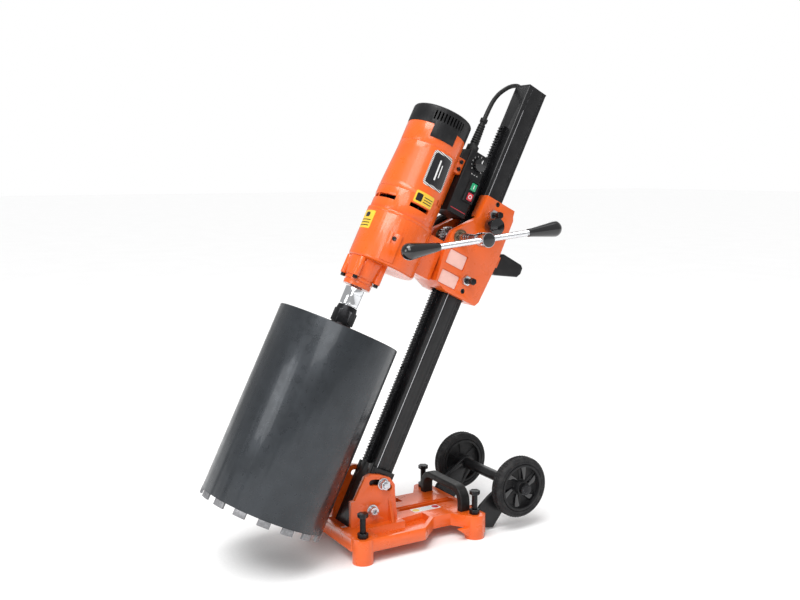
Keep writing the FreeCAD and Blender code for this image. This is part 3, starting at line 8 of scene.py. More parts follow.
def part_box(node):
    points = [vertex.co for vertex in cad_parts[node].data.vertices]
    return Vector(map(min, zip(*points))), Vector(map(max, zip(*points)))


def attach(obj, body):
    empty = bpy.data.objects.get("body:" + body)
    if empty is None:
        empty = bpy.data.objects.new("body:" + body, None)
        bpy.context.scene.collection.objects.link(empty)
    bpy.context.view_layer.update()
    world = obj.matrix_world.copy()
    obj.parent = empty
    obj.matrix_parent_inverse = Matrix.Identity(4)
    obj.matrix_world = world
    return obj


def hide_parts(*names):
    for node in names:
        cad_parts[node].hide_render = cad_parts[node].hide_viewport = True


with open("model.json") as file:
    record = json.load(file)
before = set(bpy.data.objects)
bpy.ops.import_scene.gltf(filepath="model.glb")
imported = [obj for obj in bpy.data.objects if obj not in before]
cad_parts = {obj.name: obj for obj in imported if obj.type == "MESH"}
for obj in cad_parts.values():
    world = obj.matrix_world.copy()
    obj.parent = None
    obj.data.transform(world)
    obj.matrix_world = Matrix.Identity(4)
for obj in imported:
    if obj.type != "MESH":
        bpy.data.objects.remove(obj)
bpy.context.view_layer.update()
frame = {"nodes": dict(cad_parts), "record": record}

# A core drill rig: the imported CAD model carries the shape, and this script gives every surface its
# finish and adds the lead, the labels, the threads, the tyres and the small marks.
# Places are written in millimetres and turned into metres by MAST, BASE or WORLD.
MM = 0.001

# ---- driving dimensions, millimetres and degrees ----
TILT = math.radians(26.31)
PIVOT_Z = 78.4
ANCHOR_Y = 157.5
MOTOR_V = 176.0
PINION_V = 54.2
PINION_U = 582.0
MOTOR_R_LOW = 67.0
MOTOR_R_TOP = 62.5
TAPER_U = (612.0, 700.0)
HOUSING_R = 70.0
BOSS_ANGLE = math.radians(64)
BOX_FACE_X = 32.0
DIAL = (72.0, 737.0)
BUTTON_V = 64.0
START_U = 690.0
STOP_U = 668.0
CARRIAGE_X = 45.0
NUTS_X = (45.2, 53.4)
PANEL_DEPTH = 3.0
PANELS_U = ((478.0, 508.0), (521.0, 553.0))
PANEL_Y = -41.0
PANEL_WIDTH = 46.0
LUG_SCREW = (26.0, -110.0)
LUG_SCREWS_U = (709.0, 725.0)
BOSS_SCREW_U = 511.0
GUIDE_STUD = (53.5, 2.0)
GUIDE_STUDS_U = (507.0, 656.6)
HUB_CAP_X = 144.0
HANDLE_BAR_X = 131.0
HANDLE_BAR_ANGLE = math.radians(31.6)
HANDLE_BAR_R = 6.0
HANDLE_HUB_HALF = 16.0
DECK_TOP = 50.0
BASE_LABEL = (24.2, 140.0)
BASE_LABEL_SIZE = (21.0, 66.0)
STRIP_FACE_X = 24.1
STRIP_Y = -15.0
STRIP_U = (-45.0, 895.0)
LEVELLING_SCREW_R = 6.0
WHEEL_X = 111.0
RIM_R = 50.0
TYRE_BARS = 60
FAN_BLADES = 6
# Each blade section: its distance from the axle, half its width and how far it is swept round.
FAN_SECTIONS = ((17.5, 2.6, 0.0), (26, 5.0, 0.16), (35, 7.4, 0.28), (44.5, 9.4, 0.36))
CORD_DIAMETER = 9.5
WORLD_LIGHT = 0.47

# Drawn upright on the mast as (x, -v, u), then leaned back about the pivot. On the base, y is
# counted from the pivot.
LEAN = Matrix(((1, 0, 0, 0),
               (0, math.cos(TILT), math.sin(TILT), -ANCHOR_Y * MM),
               (0, -math.sin(TILT), math.cos(TILT), PIVOT_Z * MM),
               (0, 0, 0, 1)))
MAST = LEAN @ Matrix.Scale(MM, 4)
BASE = Matrix.Translation((0, -ANCHOR_Y * MM, 0)) @ Matrix.Scale(MM, 4)
WORLD = Matrix.Scale(MM, 4)


def on_mast(x, v, u):
    return MAST @ Vector((x, -v, u))


# ---- finishes ----
class Shader:
    """A node material under construction."""

    def __init__(self, name):
        self.material = bpy.data.materials.new(name)
        self.material.use_nodes = True
        self.tree = self.material.node_tree
        self.main = self.tree.nodes["Principled BSDF"]
        self.place = self.node("ShaderNodeTexCoord").outputs["Object"]

    def node(self, kind, values=None, **settings):
        made = self.tree.nodes.new(kind)
        for key, value in settings.items():
            setattr(made, key, value)
        for key, value in (values or {}).items():
            if isinstance(value, bpy.types.NodeSocket):
                self.tree.links.new(value, made.inputs[key])
            else:
                made.inputs[key].default_value = value
        return made

    def feed(self, socket, value):
        if isinstance(value, bpy.types.NodeSocket):
            self.tree.links.new(value, self.main.inputs[socket])
        else:
            self.main.inputs[socket].default_value = value

    def noise(self, size, detail=3.0, stretch=(1, 1, 1)):
        """Noise whose lumps are about that many millimetres across."""
        place = self.place
        if stretch != (1, 1, 1):
            place = self.node("ShaderNodeMapping", {"Vector": place, "Scale": stretch}).outputs[0]
        return self.node("ShaderNodeTexNoise",
                         {"Vector": place, "Scale": 1000.0 / size, "Detail": detail}).outputs[0]

    def ranged(self, value, source, target):
        return self.node("ShaderNodeMapRange", {
            "Value": value, "From Min": source[0], "From Max": source[1],
            "To Min": target[0], "To Max": target[1]}).outputs[0]

    def mixed(self, amount, first, second):
        return self.node("ShaderNodeMixRGB",
                         {"Fac": amount, "Color1": first, "Color2": second}).outputs[0]

    def maths(self, operation, first, second):
        return self.node("ShaderNodeMath", {0: first, 1: second}, operation=operation).outputs[0]

    def edges(self, radius):
        """One along sharp edges and zero on flat faces."""
        rounded = self.node("ShaderNodeBevel", {"Radius": radius * MM}, samples=4).outputs[0]
        plain = self.node("ShaderNodeNewGeometry").outputs["Normal"]
        dot = self.node("ShaderNodeVectorMath", {0: rounded, 1: plain}, operation="DOT_PRODUCT")
        return self.ranged(dot.outputs["Value"], (0.99, 0.86), (0.0, 1.0))


def tinted(colour, factor):
    return tuple(min(1.0, c * factor) for c in colour[:3]) + (1.0,)


def surface(name, colour, rough, metal=0.0, vary=0.10, blotch=35.0, rough_vary=0.06, grain=0.9, bump=0.12,
            stretch=(1, 1, 1), wear=0.0, worn=(0.45, 0.45, 0.46), coat=0.0, dust=0.0, shine=0.5):
    """A finish with uneven colour and gloss, a fine bump, and wear along its edges."""
    s = Shader(name)
    uneven = s.noise(blotch, 4.0)
    blend = s.ranged(uneven, (0.3, 0.7), (0.0, 1.0))
    tone = s.mixed(blend, tinted(colour, 1 - vary), tinted(colour, 1 + vary))
    fine = s.noise(grain, 2.0, stretch)
    tone = s.mixed(s.ranged(fine, (0.35, 0.65), (0.0, 0.10)), tone, tinted(colour, 0.7))
    gloss = s.ranged(s.noise(blotch * 0.35, 3.0), (0.3, 0.7), (rough - rough_vary, rough + rough_vary))
    if dust:
        settled = s.maths("MULTIPLY", s.ranged(s.noise(14.0, 5.0), (0.48, 0.75), (0.0, 1.0)), dust)
        tone = s.mixed(settled, tone, (0.55, 0.53, 0.50, 1.0))
    if wear:
        rubbed = s.ranged(s.noise(5.0, 4.0), (0.42, 0.62), (0.0, wear))
        rubbed = s.maths("MULTIPLY", rubbed, s.edges(1.3))
        tone = s.mixed(rubbed, tone, tinted(worn, 1.0))
        gloss = s.maths("ADD", gloss, s.maths("MULTIPLY", rubbed, 0.15))
    s.feed("Base Color", tone)
    s.feed("Roughness", gloss)
    s.feed("Metallic", metal)
    s.feed("Specular IOR Level", shine)
    s.feed("Coat Weight", coat)
    s.feed("Coat Roughness", 0.06)
    height = s.node("ShaderNodeBump", {"Strength": bump, "Distance": grain * MM * 0.3, "Height": fine})
    s.feed("Normal", height.outputs[0])
    return s.material


def striped(name, first, second, period, direction, rough=0.4):
    """A printed label with slanting stripes."""
    s = Shader(name)
    heading = Vector(direction).normalized() / (period * MM)
    along = s.node("ShaderNodeVectorMath", {0: s.place, 1: heading}, operation="DOT_PRODUCT").outputs["Value"]
    step = s.maths("GREATER_THAN", s.maths("FRACT", along, 0.0), 0.5)
    ink = s.mixed(step, tinted(first, 1.0), tinted(second, 1.0))
    s.feed("Base Color", s.mixed(s.ranged(s.noise(9.0), (0.3, 0.7), (0.0, 0.12)), ink, (0.5, 0.5, 0.5, 1)))
    s.feed("Roughness", s.ranged(s.noise(6.0), (0.3, 0.7), (rough - 0.05, rough + 0.08)))
    height = s.node("ShaderNodeBump", {"Strength": 0.08, "Distance": 0.0001, "Height": s.noise(0.7)})
    s.feed("Normal", height.outputs[0])
    return s.material


ORANGE = (0.78, 0.112, 0.007)
FINISH = {
    "orange_paint": surface("orange_paint", ORANGE, 0.30, vary=0.06, blotch=60, rough_vary=0.05, grain=1.6,
                            bump=0.16, wear=0.5, worn=(0.86, 0.30, 0.09), coat=0.3, dust=0.015),
    "black_paint": surface("black_paint", (0.010, 0.010, 0.011), 0.36, vary=0.22, grain=1.2, bump=0.16,
                           wear=0.6, worn=(0.13, 0.13, 0.14), coat=0.12, dust=0.01, shine=0.28),
    "black_oxide": surface("black_oxide", (0.016, 0.016, 0.018), 0.32, metal=0.7, vary=0.3, blotch=9,
                           grain=0.5, bump=0.18, wear=0.7, worn=(0.30, 0.30, 0.31)),
    "zinc": surface("zinc", (0.62, 0.63, 0.66), 0.28, metal=1.0, vary=0.10, blotch=7, rough_vary=0.09,
                    grain=0.5, bump=0.14, wear=0.3, worn=(0.85, 0.85, 0.86)),
    "steel": surface("steel", (0.46, 0.46, 0.47), 0.27, metal=1.0, vary=0.09, blotch=12, rough_vary=0.08,
                     grain=0.35, bump=0.15, stretch=(0.08, 1, 1)),
    "chrome": surface("chrome", (0.76, 0.77, 0.79), 0.09, metal=1.0, vary=0.04, blotch=20, rough_vary=0.035,
                      grain=0.6, bump=0.04),
    "barrel_steel": surface("barrel_steel", (0.034, 0.039, 0.045), 0.30, metal=0.55, vary=0.16, blotch=45,
                            rough_vary=0.06, grain=0.8, bump=0.10, wear=0.5, worn=(0.17, 0.19, 0.22),
                            coat=0.2),
    "segment": surface("segment", (0.27, 0.27, 0.28), 0.55, metal=0.8, vary=0.22, blotch=4, grain=0.45,
                       bump=0.5, wear=0.5, worn=(0.5, 0.5, 0.5)),
    "black_plastic": surface("black_plastic", (0.010, 0.010, 0.011), 0.40, vary=0.18, blotch=30, grain=0.55,
                             bump=0.30, wear=0.35, worn=(0.06, 0.06, 0.06), dust=0.015, shine=0.25),
    "gloss_black": surface("gloss_black", (0.006, 0.006, 0.007), 0.14, vary=0.15, rough_vary=0.05, grain=2.2,
                           bump=0.05, wear=0.2, worn=(0.07, 0.07, 0.07), coat=0.6),
    "rubber": surface("rubber", (0.010, 0.010, 0.010), 0.48, vary=0.22, blotch=18, grain=0.7, bump=0.25,
                      wear=0.3, worn=(0.06, 0.06, 0.06), dust=0.03, shine=0.25),
    "tyre": surface("tyre", (0.011, 0.011, 0.012), 0.58, vary=0.22, blotch=12, grain=0.8, bump=0.35,
                    wear=0.5, worn=(0.07, 0.07, 0.07), dust=0.04, shine=0.25),
    "bronze": surface("bronze", (0.20, 0.15, 0.10), 0.32, metal=0.9, vary=0.15, blotch=6, grain=0.4),
    "pad_plastic": surface("pad_plastic", (0.78, 0.76, 0.68), 0.45, vary=0.06, blotch=10, grain=0.6),
    "green": surface("green", (0.015, 0.36, 0.16), 0.25, vary=0.08, blotch=6, grain=0.8, bump=0.08, coat=0.4),
    "red": surface("red", (0.62, 0.022, 0.04), 0.25, vary=0.08, blotch=6, grain=0.8, bump=0.08, coat=0.4),
    "copper": surface("copper", (0.55, 0.26, 0.13), 0.35, metal=1.0, vary=0.2, blotch=4, grain=0.5,
                      bump=0.3, stretch=(1, 1, 0.1)),
}
MARK_WHITE = surface("mark_white", (0.80, 0.80, 0.79), 0.40, vary=0.04, blotch=8, grain=0.6, bump=0.06)
LABEL_YELLOW = surface("label_yellow", (0.80, 0.52, 0.04), 0.38, vary=0.06, blotch=10, grain=0.6, bump=0.06)
LABEL_BLACK = surface("label_black", (0.012, 0.012, 0.014), 0.22, vary=0.15, blotch=14, grain=0.6, bump=0.05)
LABEL_GREY = surface("label_grey", (0.50, 0.51, 0.53), 0.35, vary=0.06, blotch=10, grain=0.6, bump=0.06)
LABEL_HATCH = striped("label_hatch", (0.78, 0.78, 0.77), (0.02, 0.02, 0.02), 3.2, (0.3, 0.6, 0.8))
# Pale pink colour for the plates in the carriage's two recesses: a painted reflection of the lamps on the
# glossy orange recess faces.
PAINTED_REFLECTION_PINK = surface("painted_reflection_pink", (0.86, 0.50, 0.43), 0.22, vary=0.04, blotch=14, grain=0.7, bump=0.05,
                     coat=0.4)
STRIP_SILVER = surface("strip_silver", (0.60, 0.60, 0.62), 0.25, metal=0.9, vary=0.05, blotch=12, grain=0.7,
                       bump=0.06)
DARK_SCREW = FINISH["black_oxide"]

SLOT_OF = {part["node"]: part["material_slot"] for part in frame["record"]["subparts"]}
FINE_TOOTHED = {"gear_rack", "armature", "intermediate_gears", "spindle_gear", "pinion_shaft", "fan",
                "stator", "bearings", "brush_gear"}
BROAD_EDGED = {"base_casting": 1.6, "carriage_casting": 1.3, "gear_housing": 1.0, "motor_housing": 0.8,
               "motor_mount": 1.0, "nose": 0.8, "switch_box": 0.7, "wheel_bracket_left": 0.8,
               "wheel_bracket_right": 0.8, "clamp_lever": 1.0, "lock_knob": 1.2, "mast_cap": 0.8,
               "motor_cap": 0.6, "start_button": 0.8, "stop_button": 0.8, "speed_dial": 0.9}


def dress(name, node):
    """Give a CAD node its finish and take the sharpness off its edges."""
    node.data.materials.clear()
    node.data.materials.append(FINISH[SLOT_OF[name]])
    node.data.polygons.foreach_set("use_smooth", [True] * len(node.data.polygons))
    node.modifiers.new("weld", "WELD").merge_threshold = 1e-6
    if name in FINE_TOOTHED:
        split = node.modifiers.new("sharp edges", "EDGE_SPLIT")
        split.split_angle = math.radians(30)
        return
    bevel = node.modifiers.new("soft edges", "BEVEL")
    bevel.width = BROAD_EDGED.get(name, 0.45) * MM
    bevel.segments = 2
    bevel.limit_method = "ANGLE"
    bevel.angle_limit = math.radians(32)
    bevel.harden_normals = True


for node_name, node_object in frame["nodes"].items():
    dress(node_name, node_object)


def brighten_nuts():
    """The guide screws' lock nuts are bright, and the rest stays black."""
    mesh = frame["nodes"]["guide_screws"].data
    mesh.materials.append(FINISH["zinc"])
    for face in mesh.polygons:
        if NUTS_X[0] < face.center.x / MM < NUTS_X[1]:
            face.material_index = 1


brighten_nuts()


# ---- mesh helpers: everything is drawn in millimetres ----
def piece(name, parts, material, body, place=MAST, sharp=35.0):
    """One object from lofts, each a list of closed rings with the same number of points."""
    bm = bmesh.new()
    for rings, loop in parts:
        rows = [[bm.verts.new(point) for point in ring] for ring in rings]
        count = len(rows[0])
        pairs = list(zip(rows, rows[1:])) + ([(rows[-1], rows[0])] if loop else [])
        for low, high in pairs:
            for i in range(count):
                j = (i + 1) % count
                bm.faces.new((low[i], low[j], high[j], high[i]))
        if not loop:
            bm.faces.new(list(reversed(rows[0])))
            bm.faces.new(rows[-1])
    bmesh.ops.recalc_face_normals(bm, faces=bm.faces)
    for face in bm.faces:
        face.smooth = True
    for edge in bm.edges:
        edge.smooth = edge.calc_face_angle(0.0) < math.radians(sharp)
    mesh = bpy.data.meshes.new(name)
    bm.to_mesh(mesh)
    bm.free()
    mesh.transform(place)
    mesh.materials.append(material)
    made = bpy.data.objects.new(name, mesh)
    bpy.context.scene.collection.objects.link(made)
    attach(made, body)
    return made


def circle_of(radius, count=48):
    """Points round a circle; the radius is a number or a function of the angle."""
    points = []
    for i in range(count):
        angle = 2 * math.pi * i / count
        r = radius(angle) if callable(radius) else radius
        points.append((r * math.cos(angle), r * math.sin(angle)))
    return points


def turned(profile, centre, axis, count=48):
    """A solid of revolution: the profile lists (radius, distance along the axis)."""
    axis = Vector(axis).normalized()
    side = axis.orthogonal().normalized()
    other = axis.cross(side)
    return [[Vector(centre) + side * a + other * b + axis * along for a, b in circle_of(radius, count)]
            for radius, along in profile], False


def hexagonal(across_flats):
    """The radius of a hexagon in each direction."""
    def radius(angle):
        return across_flats / 2 / math.cos((angle % math.radians(60)) - math.radians(30))
    return radius


def socket_head(centre, axis, radius, height, key):
    """A socket screw's head with its hexagonal recess."""
    return turned([(radius, 0), (radius, height - 0.7), (radius - 0.7, height), (key * 0.66, height),
                   (hexagonal(key), height - 0.3), (hexagonal(key), height * 0.35)], centre, axis, 36)


def rounded_outline(width, height, corner, steps=6):
    points = []
    for k, (sx, sy) in enumerate(((1, 1), (-1, 1), (-1, -1), (1, -1))):
        for i in range(steps + 1):
            angle = math.radians(90 * (k + i / steps))
            points.append((sx * (width / 2 - corner) + corner * math.cos(angle),
                           sy * (height / 2 - corner) + corner * math.sin(angle)))
    return points


def flat_plate(centre, across, up, size, corner, thick):
    """A thin plate with round corners, standing proud of a face along across x up."""
    across, up = Vector(across).normalized(), Vector(up).normalized()
    out = across.cross(up)
    rings = []
    for inset, height in ((0, 0), (0, thick * 0.6), (thick * 0.4, thick)):
        outline = rounded_outline(size[0] - 2 * inset, size[1] - 2 * inset, max(0.05, corner - inset))
        rings.append([Vector(centre) + across * a + up * b + out * height for a, b in outline])
    return rings, False


def curved_plate(radius_at, angles, heights, corner, thick, centre_v=MOTOR_V, columns=20, rows=21):
    """A thin plate bent round the motor. Angles run from the front (0) towards +X (90)."""
    low, high = heights
    middle = math.radians(sum(angles) / 2)
    half = math.radians(angles[1] - angles[0]) / 2
    rings = []
    for row in range(rows):
        u = low + (high - low) * (1 - math.cos(math.pi * row / (rows - 1))) / 2
        near_end = min(u - low, high - u, corner)
        inset = corner - math.sqrt(corner ** 2 - (corner - near_end) ** 2)
        radius = radius_at(u)
        reach = half - inset / radius
        ring = []
        for r, way in ((radius + thick, 1), (radius - 0.4, -1)):
            for column in range(columns + 1):
                angle = middle + way * reach * (2 * column / columns - 1)
                ring.append((r * math.sin(angle), -centre_v - r * math.cos(angle), u))
        rings.append(ring)
    return rings, False


def thread(start, axis, radius, length, pitch, depth, steps=16):
    """A helical ridge round a shank."""
    axis = Vector(axis).normalized()
    side = axis.orthogonal().normalized()
    other = axis.cross(side)
    rings = []
    for i in range(int(length / pitch * steps) + 1):
        angle = 2 * math.pi * i / steps
        out = side * math.cos(angle) + other * math.sin(angle)
        along = Vector(start) + axis * (pitch * i / steps)
        rings.append([along + out * (radius - 0.2), along + out * (radius + depth) + axis * (pitch * 0.35),
                      along + out * (radius - 0.2) + axis * (pitch * 0.7)])
    return rings, False


# ---- labels, always plain or with generic marks ----
def motor_radius(u):
    low, high = TAPER_U
    share = min(1.0, max(0.0, (u - low) / (high - low)))
    return MOTOR_R_LOW + (MOTOR_R_TOP - MOTOR_R_LOW) * share


def motor_labels():
    piece("nameplate_border", [curved_plate(motor_radius, (71, 117), (636, 711), 7, 0.35)],
          LABEL_HATCH, "carriage")
    piece("nameplate", [curved_plate(motor_radius, (74.5, 113.5), (641, 706), 5, 0.75)],
          LABEL_BLACK, "carriage")
    bars = [curved_plate(motor_radius, (88, 91), (652, 695), 1.2, 1.0),
            curved_plate(motor_radius, (95, 97), (660, 687), 0.9, 1.0)]
    piece("nameplate_bars", bars, MARK_WHITE, "carriage")
    piece("warning_label_motor", [curved_plate(motor_radius, (68, 106), (595.5, 620.5), 3, 0.5)],
          LABEL_YELLOW, "carriage")
    marks = [curved_plate(motor_radius, (71, 82), (600, 616), 2, 0.8)]
    marks += [curved_plate(motor_radius, (85, 103), (u, u + 1.6), 0.7, 0.8) for u in (601, 606, 611)]
    piece("warning_label_motor_marks", marks, LABEL_BLACK, "carriage")
    piece("warning_label_gearbox", [curved_plate(lambda u: HOUSING_R, (-20, 15), (514, 552), 3, 0.5)],
          LABEL_YELLOW, "carriage")
    marks = [curved_plate(lambda u: HOUSING_R, (-16, 11), (u, u + 1.8), 0.8, 0.8) for u in (519, 525, 531)]
    marks.append(curved_plate(lambda u: HOUSING_R, (-9, 4), (538, 548), 4, 0.8))
    piece("warning_label_gearbox_marks", marks, LABEL_BLACK, "carriage")


def base_label():
    x, y = BASE_LABEL
    z = DECK_TOP
    across, along = (1, 0, 0), (0, 1, 0)
    piece("base_label", [flat_plate((x, y, z), across, along, BASE_LABEL_SIZE, 2, 0.4)],
          MARK_WHITE, "base", BASE)
    outline = [(7.6, 0), (7.6, 0.2), (7.4, 0.25), (0.3, 0.25)]
    for name, step, finish in (("yellow", -24, LABEL_YELLOW), ("red", 24, FINISH["red"])):
        disc = [turned(outline, (x, y + step, z + 0.4), (0, 0, 1))]
        piece(f"base_label_{name}", disc, finish, "base", BASE)
    bars = [flat_plate((x, y + step, z + 0.4), across, along, (16, 1.3), 0.4, 0.25)
            for step in range(-12, 15, 4)]
    piece("base_label_bars", bars, LABEL_GREY, "base", BASE)


# ---- controls ----
def control_marks():
    v, u = DIAL
    across, up = (0, 1, 0), (0, 0, 1)
    ticks = []
    for i in range(11):
        angle = math.radians(-45 + 27 * i)
        out = Vector((0, math.cos(angle), math.sin(angle)))
        around = Vector((0, -math.sin(angle), math.cos(angle)))
        centre = Vector((BOX_FACE_X, -v, u)) + out * 17.4
        ticks.append(flat_plate(centre, out, around, (2.6 if i % 5 else 3.6, 0.9), 0.3, 0.25))
    for step in (-7, 0, 7):
        ticks.append(flat_plate((BOX_FACE_X, -v + step, u - 23), across, up, (3.2, 1.2), 0.4, 0.25))
    piece("dial_scale", ticks, MARK_WHITE, "carriage")
    pointer = flat_plate((BOX_FACE_X + 10.4, -v, u + 6.5), across, up, (1.6, 7.5), 0.6, 0.25)
    piece("dial_pointer", [pointer], MARK_WHITE, "speed_dial")
    bar = flat_plate((BOX_FACE_X + 4, -BUTTON_V, START_U), across, up, (1.8, 8.5), 0.7, 0.3)
    piece("start_mark", [bar], MARK_WHITE, "start_button")
    ring = []
    for r, height in ((4.4, 0.0), (4.4, 0.3), (3.0, 0.3), (3.0, 0.0)):
        ring.append([(BOX_FACE_X + 4 + height, -BUTTON_V + a, STOP_U + b) for a, b in circle_of(r, 32)])
    piece("stop_mark", [(ring, True)], MARK_WHITE, "stop_button")
    line = flat_plate((BOX_FACE_X, -77, 632), across, up, (40, 1.3), 0.5, 0.3)
    piece("switch_box_line", [line], FINISH["red"], "carriage")


# ---- small metal details ----
def screws_and_threads():
    heads = [socket_head((*LUG_SCREW, u), (1, 0, 0), 4.2, 3.6, 4.0) for u in LUG_SCREWS_U]
    for side in (-1, 1):
        out = Vector((side * math.sin(BOSS_ANGLE), -math.cos(BOSS_ANGLE), 0))
        seat = Vector((0, -MOTOR_V, BOSS_SCREW_U)) + out * (HOUSING_R - 0.5)
        heads.append(socket_head(seat, out, 4.3, 3.4, 4.0))
    piece("motor_screws", heads, DARK_SCREW, "carriage")
    bar_axis = Vector((0, math.cos(HANDLE_BAR_ANGLE), math.sin(HANDLE_BAR_ANGLE)))
    centre = Vector((HANDLE_BAR_X, -PINION_V, PINION_U))
    runs = [thread(centre + bar_axis * way * HANDLE_HUB_HALF, bar_axis * way, HANDLE_BAR_R, 92, 3.2, 0.6)
            for way in (1, -1)]
    piece("handle_bar_thread", runs, FINISH["chrome"], "feed_handle")
    for place in ("front_left", "front_right", "rear_left", "rear_right"):
        low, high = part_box(f"levelling_screw_{place}")
        middle = (low + high) / 2 / MM
        piece(f"levelling_thread_{place}",
              [thread((middle.x, middle.y, 2.5), (0, 0, 1), LEVELLING_SCREW_R, 88, 1.75, 0.03, 12)],
              DARK_SCREW, f"levelling_screw_{place}", WORLD)
    runs = [thread((*GUIDE_STUD, u), (1, 0, 0), 5.0, 12, 1.5, 0.3) for u in GUIDE_STUDS_U]
    piece("guide_screw_thread", runs, DARK_SCREW, "carriage")


def handle_hub_cap():
    """A dark domed cap in a thin bright rim."""
    centre = (HUB_CAP_X, -PINION_V, PINION_U)
    rim = [(14.9, -2), (15.2, 0.4), (14.9, 1.3), (14.2, 1.4), (14.0, 0.2), (0.4, 0.2)]
    cap = [(13.9, 0.1), (13.7, 1.0), (12.4, 1.7), (7.0, 2.4), (2.0, 2.7), (0.2, 2.72)]
    for name, outline, slot in (("hub_rim", rim, "zinc"), ("hub_cap", cap, "gloss_black")):
        piece(name, [turned(outline, centre, (1, 0, 0))], FINISH[slot], "feed_handle")


def carriage_painted_reflections():
    # These pale plates are painted reflection: they stand in for the lamps' glare on the recessed faces of
    # the glossy orange carriage.
    across, up = (0, 1, 0), (0, 0, 1)
    x = CARRIAGE_X - PANEL_DEPTH
    plates = [flat_plate((x, PANEL_Y, (low + high) / 2), across, up, (PANEL_WIDTH, high - low - 2), 3, 1.2)
              for low, high in PANELS_U]
    piece("carriage_painted_reflections", plates, PAINTED_REFLECTION_PINK, "carriage")


def mast_line():
    """The bright scale strip in the mast's near front groove."""
    low, high = STRIP_U
    centre = (STRIP_FACE_X, STRIP_Y, (low + high) / 2)
    strip = flat_plate(centre, (0, 1, 0), (0, 0, 1), (1.5, high - low), 0.5, 0.4)
    piece("mast_scale_strip", [strip], STRIP_SILVER, "mast")


# ---- tyres ----
def tyre(side):
    """A moulded tyre with tread bars and a finely ribbed side wall."""
    low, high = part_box(f"tyre_{side}")
    middle = (low + high) / 2
    half = (high.x - low.x) / 2 / MM - 0.4
    outer = (high.z - low.z) / 2 / MM - 0.3
    inner = RIM_R
    steps = 4 * TYRE_BARS
    rings = []
    for i in range(steps):
        angle = 2 * math.pi * i / steps
        bar = 1.0 if i % 4 in (0, 1) else 0.0
        wall = 0.45 * bar
        tread = 1.1 * (1 - bar)
        profile = [
            (inner, half - 2.5), (inner + 2.5, half), (inner + 5, half), (inner + 6, half - 1 + wall),
            (inner + 9, half - 1 + wall), (inner + 10, half - 0.3), (outer - 4, half - 2),
            (outer - 1.5, half - 4.5), (outer - tread, half - 7), (outer - tread, 2.6), (outer - 1.8, 1.8),
        ]
        section = profile + [(r, -x) for r, x in reversed(profile)]
        rings.append([(x, r * math.cos(angle), r * math.sin(angle)) for r, x in section])
    made = piece(f"moulded_tyre_{side}", [(rings, True)], FINISH["tyre"], f"wheel_{side}",
                 Matrix.Translation(middle) @ WORLD, sharp=28)
    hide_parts(f"tyre_{side}")


def wheel_fan(side):
    """Raised fan blades on the wheel's outer face."""
    low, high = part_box(f"wheel_rim_{side}")
    middle = (low + high) / 2 / MM
    way = 1 if side == "right" else -1
    web = way * (WHEEL_X + 1)
    blades = []
    for i in range(FAN_BLADES):
        turn = 2 * math.pi * i / FAN_BLADES
        rings = []
        for radius, half, swirl in FAN_SECTIONS:
            angle = turn + swirl
            out = Vector((0, math.cos(angle), math.sin(angle)))
            around = Vector((0, -math.sin(angle), math.cos(angle)))
            centre = Vector((web, middle.y, middle.z)) + out * radius
            lift = Vector((way, 0, 0))
            rings.append([centre - around * half, centre + around * half,
                          centre + around * half * 0.7 + lift * 4.6, centre + lift * 5.2,
                          centre - around * half * 0.7 + lift * 4.6])
        blades.append((rings, False))
    piece(f"wheel_fan_{side}", blades, FINISH["gloss_black"], f"wheel_{side}",
          WORLD, sharp=50)


# ---- the lead ----
LEAD_ROUTE = [
    (10, 88, 836), (9, 87, 868), (0, 76, 898), (-16, 55, 925), (-33, 30, 950),
    (-48, 1, 967), (-63, -29, 963), (-75, -52, 940), (-80, -64, 909), (-80, -66, 876),
    (-79, -65, 840), (-75, -64, 785), (-69, -62, 728), (-64, -62, 672), (-62, -62, 622),
]
TAIL_ROUTE = [
    (-72, 15, 648), (-72, -4, 655), (-76, -21, 653), (-82, -38, 646), (-87, -51, 633),
    (-91, -60, 617), (-92, -68, 601),
]
COIL_CENTRE_U = 585.0
COIL_LAYERS = (-61.85, -71.6)
COIL_RADII = (62.0, 52.25, 42.5)
# Each entry is the winding angle by which the lead has reached that radius and layer.
COIL_STAGES = [
    (0, 0, 0), (285, 0, 0), (345, 1, 0), (645, 1, 0), (705, 2, 0), (920, 2, 0), (1000, 2, 1),
    (1220, 2, 1), (1280, 1, 1), (1580, 1, 1), (1640, 0, 1), (1680, 0, 1),
]
COIL_STEP = 15


def coil_points():
    """Nearly five turns, wound inwards in one layer and outwards in the next."""
    points = []
    for (start, radius_a, layer_a), (end, radius_b, layer_b) in zip(COIL_STAGES, COIL_STAGES[1:]):
        count = max(1, round((end - start) / COIL_STEP))
        for i in range(1, count + 1):
            share = i / count
            smooth = share * share * (3 - 2 * share)
            angle = math.radians(start + (end - start) * share)
            radius = COIL_RADII[radius_a] * (1 - smooth) + COIL_RADII[radius_b] * smooth
            x = COIL_LAYERS[layer_a] * (1 - smooth) + COIL_LAYERS[layer_b] * smooth
            points.append((x, -radius * math.cos(angle), COIL_CENTRE_U - radius * math.sin(angle)))
    return points


def power_lead():
    curve = bpy.data.curves.new("power_lead", "CURVE")
    curve.dimensions = "3D"
    curve.bevel_depth = CORD_DIAMETER / 2 * MM
    curve.bevel_resolution = 5
    curve.resolution_u = 8
    curve.use_fill_caps = True
    points = [on_mast(*point) for point in LEAD_ROUTE + coil_points() + TAIL_ROUTE]
    spline = curve.splines.new("NURBS")
    spline.points.add(len(points) - 1)
    for target, point in zip(spline.points, points):
        target.co = (*point, 1.0)
    spline.order_u = 3
    spline.use_endpoint_u = True
    curve.materials.append(FINISH["rubber"])
    lead = bpy.data.objects.new("power_lead", curve)
    bpy.context.scene.collection.objects.link(lead)
    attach(lead, "carriage")
    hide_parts("power_cord", "cord_coil")


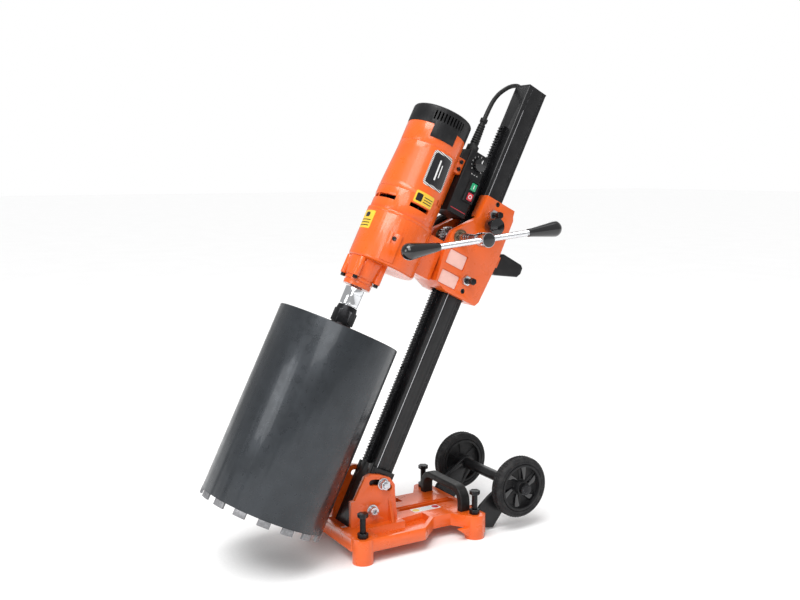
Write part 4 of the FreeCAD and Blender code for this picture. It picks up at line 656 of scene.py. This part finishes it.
# ---- studio ----
def floor_and_light():
    size = 30.0
    mesh = bpy.data.meshes.new("studio_floor")
    corners = [(-size, -size, 0), (size, -size, 0), (size, size, 0), (-size, size, 0)]
    mesh.from_pydata(corners, [], [(0, 1, 2, 3)])
    mesh.materials.append(surface("floor_white", (0.93, 0.93, 0.93), 0.8, vary=0.01, blotch=300, grain=6,
                                  bump=0.02, shine=0.2))
    floor = bpy.data.objects.new("studio_floor", mesh)
    bpy.context.scene.collection.objects.link(floor)
    world = bpy.data.worlds.new("studio")
    world.use_nodes = True
    tree = world.node_tree
    rays = tree.nodes.new("ShaderNodeLightPath")
    seen = tree.nodes.new("ShaderNodeMapRange")
    seen.inputs["To Min"].default_value = WORLD_LIGHT
    seen.inputs["To Max"].default_value = 1.0
    tree.links.new(rays.outputs["Is Camera Ray"], seen.inputs["Value"])
    background = tree.nodes["Background"].inputs
    background["Color"].default_value = (1.0, 1.0, 1.0, 1.0)
    tree.links.new(seen.outputs[0], background["Strength"])
    bpy.context.scene.world = world
    bpy.context.scene.view_settings.view_transform = "Standard"
    sky = bpy.data.lights.new("sky", "SUN")
    sky.energy = 2.2
    sky.angle = math.radians(35)
    sun = bpy.data.objects.new("sky", sky)
    sun.rotation_euler = (math.radians(22), math.radians(14), 0)
    bpy.context.scene.collection.objects.link(sun)
    target = Vector((0, -0.05, 0.5))
    for name, place, width, power in (
            ("key", (2.2, -1.6, 2.4), 1.6, 30), ("side", (0.4, -3.0, 1.3), 1.2, 18),
            ("back", (-2.4, 1.6, 2.2), 1.8, 22), ("top", (0.3, 0.2, 3.2), 2.0, 10)):
        lamp = bpy.data.lights.new(name, "AREA")
        lamp.size = width
        lamp.energy = power
        light = bpy.data.objects.new(name, lamp)
        light.location = place
        light.rotation_euler = (target - Vector(place)).to_track_quat("-Z", "Y").to_euler()
        bpy.context.scene.collection.objects.link(light)


def camera():
    data = bpy.data.cameras.new("photo_camera")
    data.lens = 43.08
    data.sensor_width = 36.0
    data.clip_end = 200.0
    made = bpy.data.objects.new("photo_camera", data)
    made.location = (1.677, -1.0585, 0.759)
    made.rotation_euler = (math.radians(90 - 7.67), 0.0, math.radians(59.38))
    bpy.context.scene.collection.objects.link(made)
    bpy.context.scene.camera = made


motor_labels()
base_label()
control_marks()
screws_and_threads()
handle_hub_cap()
carriage_painted_reflections()
mast_line()
for wheel_side in ("left", "right"):
    tyre(wheel_side)
    wheel_fan(wheel_side)
power_lead()
floor_and_light()
camera()
